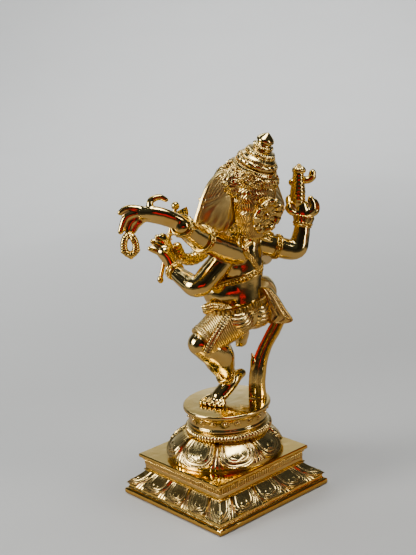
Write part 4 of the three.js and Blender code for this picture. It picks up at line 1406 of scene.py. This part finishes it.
class STATUE_OT_dress(bpy.types.Operator):
    """Builds the pleated cloth on hips and thighs, its bow and sash, and the side flare with its strut"""

    bl_idname = "statue.dress"
    bl_label = "Build dress"

    def execute(self, context):
        chased, worn = material(context, "chased"), material(context, "worn")
        hip, knee, _ = leg("standing")
        sleeve = cloth_sleeve(hip, hip * 0.05 + knee * 0.95, [11.7, 11.5, 10.6, 9.6, 8.7], (0.62, 0.74, 0.27))
        piece("cloth_left", sleeve, worn, (), 60)
        hip, knee, _ = leg("raised")
        sleeve = cloth_sleeve(hip, hip * 0.16 + knee * 0.84, [11.5, 11.0, 9.8, 8.6], (-0.3, 0.2, -0.9))
        piece("cloth_right", sleeve, worn, (), 60)
        seat = [
            pleated_ball(spot(-7.6, 14.4, 112.4), (10.4, 9.6, 9.8), (0.55, 0.83), 11, 0.6),
            pleated_ball(spot(-22.4, 14.8, 113.0), (9.8, 9.6, 9.4), (0.2, 0.98), 10, 0.6),
            pleated_ball(spot(-15.4, 9.6, 116.0), (16.6, 13.2, 6.6), (0.3, 0.95), 7, 0.5),
        ]
        piece("cloth_seat", combine(seat), chased, (), 60)

        def twist(u, v):
            return 0.22 * np.sin(2 * math.pi * (22 * v + u))

        knots = []
        for lift, reach, turn in ((0.0, 1.0, 0.0), (1.6, 0.85, 0.5), (-1.4, 0.8, -0.5)):
            loop = [spot(-3.0, 13.5, 119.0 + lift), spot(2.6 + turn, 8.6 * reach, 120.6 + lift)]
            loop += [
                spot(5.4, 3.4 * reach + turn, 119.4 + lift),
                spot(3.8 + turn, -1.8 * reach, 118.2 + lift * 0.7)
            ]
            knots.append(tube(loop, [1.2, 1.9, 2.1, 1.3], 70, 24, twist, flat=0.8))
        piece("hip_bow", combine(knots), chased, (), 60)

        def pleats(a, b):
            side = 1 - rise(a, 0.62, 0.68)
            beads_row = 0.8 * np.abs(np.sin(math.pi * 17 * a)) * bump(b, 0.84, 0.06) * side
            lines = (
                0.5 * bump(b, 0.96, 0.025) + 0.4 * bump(b, 0.72, 0.025) + 0.4 * bump(b, 0.45, 0.05)
                + 0.35 * bump(b, 0.25, 0.05)
            )
            return beads_row + lines + 0.3 * np.abs(np.sin(math.pi * 9 * b)) * bump(a, 0.93, 0.05)

        root = [
            FLARE_ROOT
            + d for d in (np.array([1.6, -3.4, 14.6]), np.array([1.2, -1.8, 4]), np.array([0, 0, -7.5]))
        ]
        out = unit([-0.72, 0.66, 0])
        rim = ((2.6, 14.4), (6.8, 8.6), (11.0, 0.4), (14.8, -7.0), (9, -8.8), (2, -7.8))
        tips = [FLARE_ROOT + out * a + np.array([0, 0, b]) for a, b in rim]
        piece("flare", fan_plate(root, tips, 2.4, pleats, 0.8, 120, 60), chased, ["sash_flare"], 60)
        way = [
            spot(-18.6, 15.7, 58.8), spot(-18.6, 16.1, 69), spot(-20.6, 16.8, 79), spot(-25.4, 17.8, 89),
            spot(-33.4, 20.8, 101.4), spot(-36.0, 22.4, 106.2)
        ]

        def edges(u, w):
            return (
                0.6 * bump(np.abs(w), 0.8, 0.12) + 0.25 * bump(w, 0, 0.12)
                + 0.5 * bump(u, 0.02, 0.02) * np.abs(np.sin(math.pi * 4 * w))
            )

        piece(
            "strut", ribbon(way, [11.6, 10.8, 10.4, 8.8, 7.6, 8.2, 7.0], 2.0, edges, (0.88, 0.48, 0)), chased,
            ["sash_strut"], 60
        )
        spur = [
            spot(-17.2, 13.6, 73.0), spot(-18.0, 14.2, 79.0), spot(-18.8, 14.0, 83.0), spot(-18.4, 13.6, 86.4)
        ]
        piece("strut_spur", tube(spur, [1.0, 1.7, 1.9, 0.6], 30, 20), chased)
        way = [spot(2, 17.9, 117), spot(9, 17.4, 111), spot(14.4, 15.4, 103.6), spot(17.4, 13.6, 97.6)]

        def rows(u, w):
            return (
                0.5 * np.abs(np.sin(math.pi * 16 * u)) * (bump(w, -0.45, 0.2) + bump(w, 0.45, 0.2))
                + 0.35 * bump(np.abs(w), 0.93, 0.06)
            )

        piece(
            "tail", ribbon(way, [4.6, 4.6, 4.8, 5.2], 1.3, rows, (0.6, 0.77, 0.2)), chased, ["thigh_sash"], 60
        )
        return {"FINISHED"}


class STATUE_OT_held(bpy.types.Operator):
    """Builds what the four hands hold: noose, axe, goad and broken tusk"""

    bl_idname = "statue.held"
    bl_label = "Build held things"

    def execute(self, context):
        polished, chased = material(context, "polished"), material(context, "chased")
        middle = centre("noose")
        size = corners("noose")
        tall = (size[:, 2].max() - size[:, 2].min()) / 2 - 1.4
        out = BACK_LEFT
        turn = np.arange(90) / 90 * 2 * math.pi
        pear = tall * 0.6 * (1 - 0.16 * np.sin(turn))
        loop = (
            middle + out * (np.cos(turn) * pear)[:, None]
            + np.array([0, 0, 1.0]) * (np.sin(turn) * tall)[:, None]
        )
        made = [cord_ring(loop, 1.95, lambda u: 0.08 * np.cos(2 * math.pi * 24 * u))]
        studs = [
            middle + [0, 0, -tall - 1.2], middle + out * 3.9 - [0, 0, 3.2], middle - out * 3.9 - [0, 0, 3.2]
        ]
        made.append(beads(studs, 1.5, 16, 10))
        piece("noose_cord", combine(made), polished, ["noose"])
        low, high = spot(17, -24, 136.5), spot(1.5, -22.5, 178.5)
        shaft = [
            tube([low, high], [1.25, 1.25], 40, 20), blob(low, 1.9, 1.9, 2.4, 20, 14),
            blob(high + [0, 0, 0.4], 2.5, 2.5, 2.6, 24, 16)
        ]
        along = unit(high - low)
        for at in (0.5, 0.56, 0.62):
            shaft.append(ring_band(low * (1 - at) + high * at, along, 1.5, 0.6, 40))
        piece("axe_rod", combine(shaft), polished, ["axe_shaft"])
        root = high - along * 6
        side = BACK_LEFT
        tips = [root + side * a + along * b for a, b in ((7.0, 5.4), (8.6, 1.8), (8.8, -1.6), (7.4, -5.4))]
        base = [root + side * 0.3 + along * b for b in (2.4, 0.8, -0.8, -2.4)]
        blade = fan_plate(base, tips, 2.2, lambda a, b: 0.35 * bump(b, 0.86, 0.05) + 0 * a, 0.0, 60, 40)
        piece("axe_head", blade, polished, ["axe_blade"])
        low, high = spot(-53.6, 25.6, 175.0), spot(-56.6, 24.6, 192.4)
        rod = [tube([low - [0, 0, 4], low, low * 0.5 + high * 0.5, high], [3.0, 4.5, 4.6, 3.8, 3.2], 90, 40,
                    lambda u, v: 0.35 * np.abs(np.sin(math.pi * 9 * v)) * bump((u + 0.1) % 1, 0.35, 0.12))]

        def notches(u, v):
            return 0.15 * np.cos(2 * math.pi * 12 * u) + 0 * v

        cap = [
            (0.2, -2.2), (2.6, -1.8), (3.9, -0.8), (4.1, 0.6), (3.2, 1.8), (1.6, 2.8), (1.0, 3.6), (0.2, 4.0)
        ]
        rod.append(revolve(cap, high + [-0.8, 0, 1.2], (-0.1, 0, 1), 80, 40, notches))
        hook = [
            spot(-57.0, 25.0, 188.6), spot(-60.4, 27.4, 187.4), spot(-63.0, 29.2, 188.6),
            spot(-64.0, 29.4, 191.4)
        ]
        rod.append(tube(hook, [2.4, 2.3, 2.3, 2.1], 30, 24, lambda u, v: 0.3 * bump(v, 0.8, 0.05)))
        rod.append(blob(spot(-53.4, 22.6, 187.0), 2.6, 2.2, 2.4, 24, 14))
        piece("goad_rod", combine(rod), chased, ["goad"])
        stump = tube(
            [spot(-46.5, -27.8, 149.4), spot(-42, -28.6, 153.4), spot(-40, -29, 157.2)], [2.3, 2.0, 1.3], 24,
            20
        )
        piece("tusk_piece", stump, polished, ["broken_tusk"])
        return {"FINISHED"}


# ---------------------------------------------------------------- the studio


def soft_light(name, place, aim, width, height, power, colour):
    """A large soft area light that faces a point."""
    data = bpy.data.lights.new(name, "AREA")
    data.shape = "RECTANGLE"
    data.size, data.size_y = width, height
    data.energy = power
    data.color = colour
    lamp = bpy.data.objects.new(name, data)
    lamp.location = Vector(place)
    lamp.rotation_euler = (Vector(aim) - Vector(place)).to_track_quat("-Z", "Y").to_euler()
    bpy.context.scene.collection.objects.link(lamp)


def plain(name, colour, rough):
    """A matt studio surface with a faint mottle."""
    made = bpy.data.materials.new(name)
    made.use_nodes = True
    tree = made.node_tree
    tree.nodes.clear()
    place = node(tree, "ShaderNodeTexCoord").outputs["Object"]
    cloud = noise(tree, place, 9.0, 3.0)
    tint = mixed(tree, cloud, (*colour, 1.0), (*[c * 0.96 for c in colour], 1.0))
    shader = node(tree, "ShaderNodeBsdfPrincipled", {"Base Color": tint, "Roughness": rough})
    node(tree, "ShaderNodeOutputMaterial", {"Surface": shader.outputs[0]})
    return made


SWEEP_NEAR = -1.1  # all five in metres
SWEEP_RADIUS = 2.2
SWEEP_TOP = 4.5
SWEEP_HALF_WIDTH = 4.5
SWEEP_DROP = 0.0003


def sweep(settings):
    """Floor and backdrop as one sheet: flat, then a quarter round, then upright."""
    turn = np.linspace(0, math.pi / 2, 60)[1:]
    reach, radius = settings.backdrop_distance, SWEEP_RADIUS
    away = np.concatenate([[SWEEP_NEAR, 0.0, reach], reach + radius * np.sin(turn), [reach + radius]])
    height = np.concatenate([[0, 0, 0], radius * (1 - np.cos(turn)), [SWEEP_TOP]])
    azimuth = math.radians(settings.azimuth)
    ahead = np.array([math.sin(azimuth), math.cos(azimuth), 0.0])
    side = np.array([ahead[1], -ahead[0], 0.0])
    rows = np.stack([ahead * a + np.array([0, 0, h - SWEEP_DROP]) for a, h in zip(away, height)])
    sheet = np.stack([rows - side * SWEEP_HALF_WIDTH, rows + side * SWEEP_HALF_WIDTH], 1)
    vertices = sheet.reshape(-1, 3)
    k = np.arange(len(rows) - 1)[:, None] * 2
    faces = np.concatenate([k, k + 2, k + 3, k + 1], 1)
    mesh = bpy.data.meshes.new("sweep")
    mesh.from_pydata(vertices.tolist(), [], faces.tolist())
    mesh.shade_smooth()
    mesh.materials.append(plain("sweep_paper", settings.floor_colour, 0.7))
    sheet = bpy.data.objects.new("sweep", mesh)
    bpy.context.scene.collection.objects.link(sheet)
    return ahead, side


def studio_card(name, place, aim, width, height, colour):
    """A flat card that only the polished metal sees."""
    mesh = bpy.data.meshes.new(name)
    w, h = width / 2, height / 2
    mesh.from_pydata([(-w, -h, 0), (w, -h, 0), (w, h, 0), (-w, h, 0)], [], [(0, 1, 2, 3)])
    turn = (Vector(aim) - Vector(place)).to_track_quat("Z", "Y").to_matrix().to_4x4()
    mesh.transform(Matrix.Translation(Vector(place)) @ turn)
    mesh.materials.append(plain(name + "_paint", colour, 0.8))
    card = bpy.data.objects.new(name, mesh)
    card.visible_camera = card.visible_diffuse = card.visible_shadow = False
    bpy.context.scene.collection.objects.link(card)


def place_camera(context, settings):
    """The camera: it looks at the aim from its azimuth, elevation and distance, and is rolled last."""
    origin = Vector(ORIGIN * MM)
    aim = origin + Vector(settings.aim)
    azimuth, elevation = math.radians(settings.azimuth), math.radians(settings.elevation)
    level = math.cos(elevation)
    look = Vector((math.sin(azimuth) * level, math.cos(azimuth) * level, -math.sin(elevation)))
    right = look.cross(Vector((0, 0, 1))).normalized()
    up = right.cross(look)
    roll = math.radians(settings.roll)
    right, up = right * math.cos(roll) - up * math.sin(roll), up * math.cos(roll) + right * math.sin(roll)
    data = bpy.data.cameras.new("camera")
    data.lens = settings.lens
    data.sensor_width = 36.0
    data.clip_start, data.clip_end = 0.01, 20.0
    camera = bpy.data.objects.new("camera", data)
    turn = Matrix((right, up, -look)).transposed().to_4x4()
    camera.matrix_world = Matrix.Translation(aim - look * settings.distance) @ turn
    context.scene.collection.objects.link(camera)
    context.scene.camera = camera


def studio_air(context, settings):
    """The world: dim and a little cooler above for lighting, and the floor's pale colour to the camera."""
    world = bpy.data.worlds.new("studio_air")
    context.scene.world = world
    world.use_nodes = True
    tree = world.node_tree
    tree.nodes.clear()
    place = node(tree, "ShaderNodeTexCoord").outputs["Generated"]
    height = node(tree, "ShaderNodeSeparateXYZ", {"Vector": place}).outputs[2]
    ramp = node(tree, "ShaderNodeMapRange", {"Value": height, "From Min": -0.2, "From Max": 0.8}).outputs[0]
    tint = mixed(tree, ramp, (0.34, 0.33, 0.32, 1.0), (0.86, 0.9, 0.95, 1.0))
    air = node(tree, "ShaderNodeBackground", {"Color": tint, "Strength": settings.air})
    pale = node(tree, "ShaderNodeBackground", {"Color": (*settings.floor_colour, 1.0), "Strength": 0.8})
    seen = node(tree, "ShaderNodeLightPath").outputs["Is Camera Ray"]
    both = node(tree, "ShaderNodeMixShader", {0: seen, 1: air.outputs[0], 2: pale.outputs[0]})
    node(tree, "ShaderNodeOutputWorld", {"Surface": both.outputs[0]})


class STATUE_OT_studio(bpy.types.Operator):
    """Sets up the camera, the lights, the floor, the cards that the metal mirrors, and the world"""

    bl_idname = "statue.studio"
    bl_label = "Build studio"

    def execute(self, context):
        settings = context.scene.statue_studio
        place_camera(context, settings)
        ahead, side = sweep(settings)
        ahead, side = Vector(ahead), Vector(side)
        middle = Vector((0, 0, 0.13))
        lift = Vector((0, 0, 1))
        power = settings.power
        soft_light(
            "key", -ahead * 0.35 - side * 1.3 + lift * 0.66, middle, 0.5, 0.8, power * 19, (1.0, 0.98, 0.94)
        )
        soft_light(
            "fill", -ahead * 0.7 + side * 1.3 + lift * 0.55, middle, 0.22, 1.0, power * 7, (1.0, 0.93, 0.82)
        )
        soft_light(
            "back", ahead * 0.9 - side * 0.7 + lift * 1.3, middle, 1.3, 0.6, power * 8, (0.96, 0.98, 1.0)
        )
        soft_light(
            "top", lift * 1.5 - ahead * 0.2 + side * 0.2, middle, 0.9, 0.6, power * 16, (1.0, 1.0, 0.98)
        )
        soft_light(
            "backdrop", ahead * 0.9 + lift * 1.5 + side * 0.3, ahead * 2.8 + lift * 0.7, 1.0, 0.6, power * 54,
            (1.0, 1.0, 1.0)
        )
        soft_light(
            "rose", -ahead * 0.95 + lift * 0.2 + side * 0.1, middle, 0.6, 0.16, power * 0.42,
            (1.0, 0.03, 0.05)
        )
        studio_card(
            "dark_left", -ahead * 0.5 - side * 1.6 + lift * 0.25, middle, 1.1, 0.7, (0.02, 0.018, 0.016)
        )
        studio_card(
            "dark_front", -ahead * 1.7 + side * 0.3 + lift * 0.8, middle, 1.5, 1.0, (0.025, 0.02, 0.02)
        )
        studio_card(
            "warm_right", side * 1.5 + lift * 0.15 - ahead * 0.1, middle, 0.7, 0.5, (0.45, 0.09, 0.03)
        )
        studio_card("dark_high", Vector((0.24, -0.9, 0.86)), middle, 0.75, 0.55, (0.05, 0.045, 0.035))
        table, room = lift * 0.0005, lift * 0.0003 - ahead * 1.2
        studio_card("warm_table", table, table + lift, 0.74, 0.74, (0.36, 0.29, 0.22))
        studio_card("dark_room", room, room + lift, 3.2, 3.2, (0.035, 0.032, 0.028))
        studio_air(context, settings)
        context.scene.view_settings.look = "AgX - Medium High Contrast"
        return {"FINISHED"}


# ---------------------------------------------------------------- settings, panel and registration


def length(name, text, default):
    """A length property in metres."""
    return bpy.props.FloatProperty(name=name, description=text, default=default, unit="LENGTH", precision=4)


class BrassSettings(bpy.types.PropertyGroup):
    """Colours and gloss of the brass"""

    gold: bpy.props.FloatVectorProperty(
        name="Gold", description="Colour of the polished brass", default=(0.88, 0.71, 0.34), size=3,
        subtype="COLOR"
    )
    # This brown is the patina in the grooves and also the painted shade in the creases between parts.
    patina_and_shade: bpy.props.FloatVectorProperty(
        name="Tarnish", description="Colour in grooves and creases", default=(0.26, 0.12, 0.075), size=3,
        subtype="COLOR"
    )
    roughness: bpy.props.FloatProperty(
        name="Roughness", description="Roughness of the polished brass", default=0.06, min=0.0, max=1.0,
        subtype="FACTOR"
    )


class BaseSettings(bpy.types.PropertyGroup):
    """Size of the base and counts of its ornament"""

    side: length("Side", "Length of the base's side", 0.09)
    petal_lift: length("Petal lift", "How far the square tier's petals stand proud", 0.0012)
    petals_per_side: bpy.props.IntProperty(
        name="Petals per side", description="Petal pitches along one side", default=4
    )
    flutes_per_side: bpy.props.IntProperty(
        name="Flutes per side", description="Upright flutes on one side", default=38
    )
    dome_petals: bpy.props.IntProperty(name="Dome petals", description="Petals round the dome", default=8)
    ring_beads: bpy.props.IntProperty(name="Ring beads", description="Beads round the ring", default=76)
    drum_studs: bpy.props.IntProperty(name="Drum studs", description="Rosettes round the drum", default=20)


class FigureSettings(bpy.types.PropertyGroup):
    """How fine the figure's skin is"""

    skin_cell: length("Skin cell", "Size of the cells the skin is fused with", 0.00054)
    polish: bpy.props.IntProperty(
        name="Polish", description="Smoothing passes over the fused skin", default=4
    )


class StudioSettings(bpy.types.PropertyGroup):
    """Camera, floor and light"""

    azimuth: bpy.props.FloatProperty(
        name="Azimuth", description="Direction the camera looks in, from +Y to +X", default=220.143
    )
    elevation: bpy.props.FloatProperty(
        name="Elevation", description="Angle the camera looks down", default=15.403
    )
    roll: bpy.props.FloatProperty(
        name="Roll", description="Turn of the camera about its own axis", default=4.898
    )
    distance: length("Distance", "From the camera to the point it aims at", 0.6802)
    lens: bpy.props.FloatProperty(name="Lens", description="Focal length on a 36 mm sensor", default=74.19)
    aim: bpy.props.FloatVectorProperty(
        name="Aim", description="Point the camera looks at, from the base's middle",
        default=(0.0005, 0.0008, 0.1375),
        size=3, subtype="TRANSLATION",
    )
    backdrop_distance: length(
        "Backdrop distance", "From the object to the start of the backdrop's curve", 1.1
    )
    floor_colour: bpy.props.FloatVectorProperty(
        name="Floor", description="Colour of floor and backdrop", default=(0.62, 0.63, 0.63), size=3,
        subtype="COLOR"
    )
    power: bpy.props.FloatProperty(name="Power", description="Strength of all lights", default=0.66)
    air: bpy.props.FloatProperty(name="Air", description="Strength of the world's light", default=0.06)


class STATUE_PT_panel(bpy.types.Panel):
    """The add-on's buttons and settings"""

    bl_idname = "STATUE_PT_panel"
    bl_label = "Brass figure"
    bl_space_type = "VIEW_3D"
    bl_region_type = "UI"
    bl_category = "Statue"

    def draw(self, context):
        layout = self.layout
        for name in GROUPS:
            box = layout.box()
            group = getattr(context.scene, name)
            for key in group.__class__.__annotations__:
                box.prop(group, key)
        for operator in OPERATORS:
            layout.operator(operator.bl_idname)


GROUPS = {
    "statue_brass": BrassSettings,
    "statue_base": BaseSettings,
    "statue_figure": FigureSettings,
    "statue_studio": StudioSettings,
}
OPERATORS = (
    STATUE_OT_studio,
    STATUE_OT_base,
    STATUE_OT_body,
    STATUE_OT_head,
    STATUE_OT_crown,
    STATUE_OT_dress,
    STATUE_OT_jewels,
    STATUE_OT_held,
)


def register():
    """Registers every class and hangs the settings on the scene."""
    for cls in (*GROUPS.values(), *OPERATORS, STATUE_PT_panel):
        bpy.utils.register_class(cls)
    for name, cls in GROUPS.items():
        setattr(bpy.types.Scene, name, bpy.props.PointerProperty(type=cls))


def unregister():
    """Takes the settings and classes away again."""
    for name in GROUPS:
        delattr(bpy.types.Scene, name)
    for cls in (STATUE_PT_panel, *reversed(OPERATORS), *reversed(list(GROUPS.values()))):
        bpy.utils.unregister_class(cls)


def main():
    register()
    for operator in OPERATORS:
        group, name = operator.bl_idname.split(".")
        getattr(getattr(bpy.ops, group), name)()


if __name__ == "__main__":
    main()
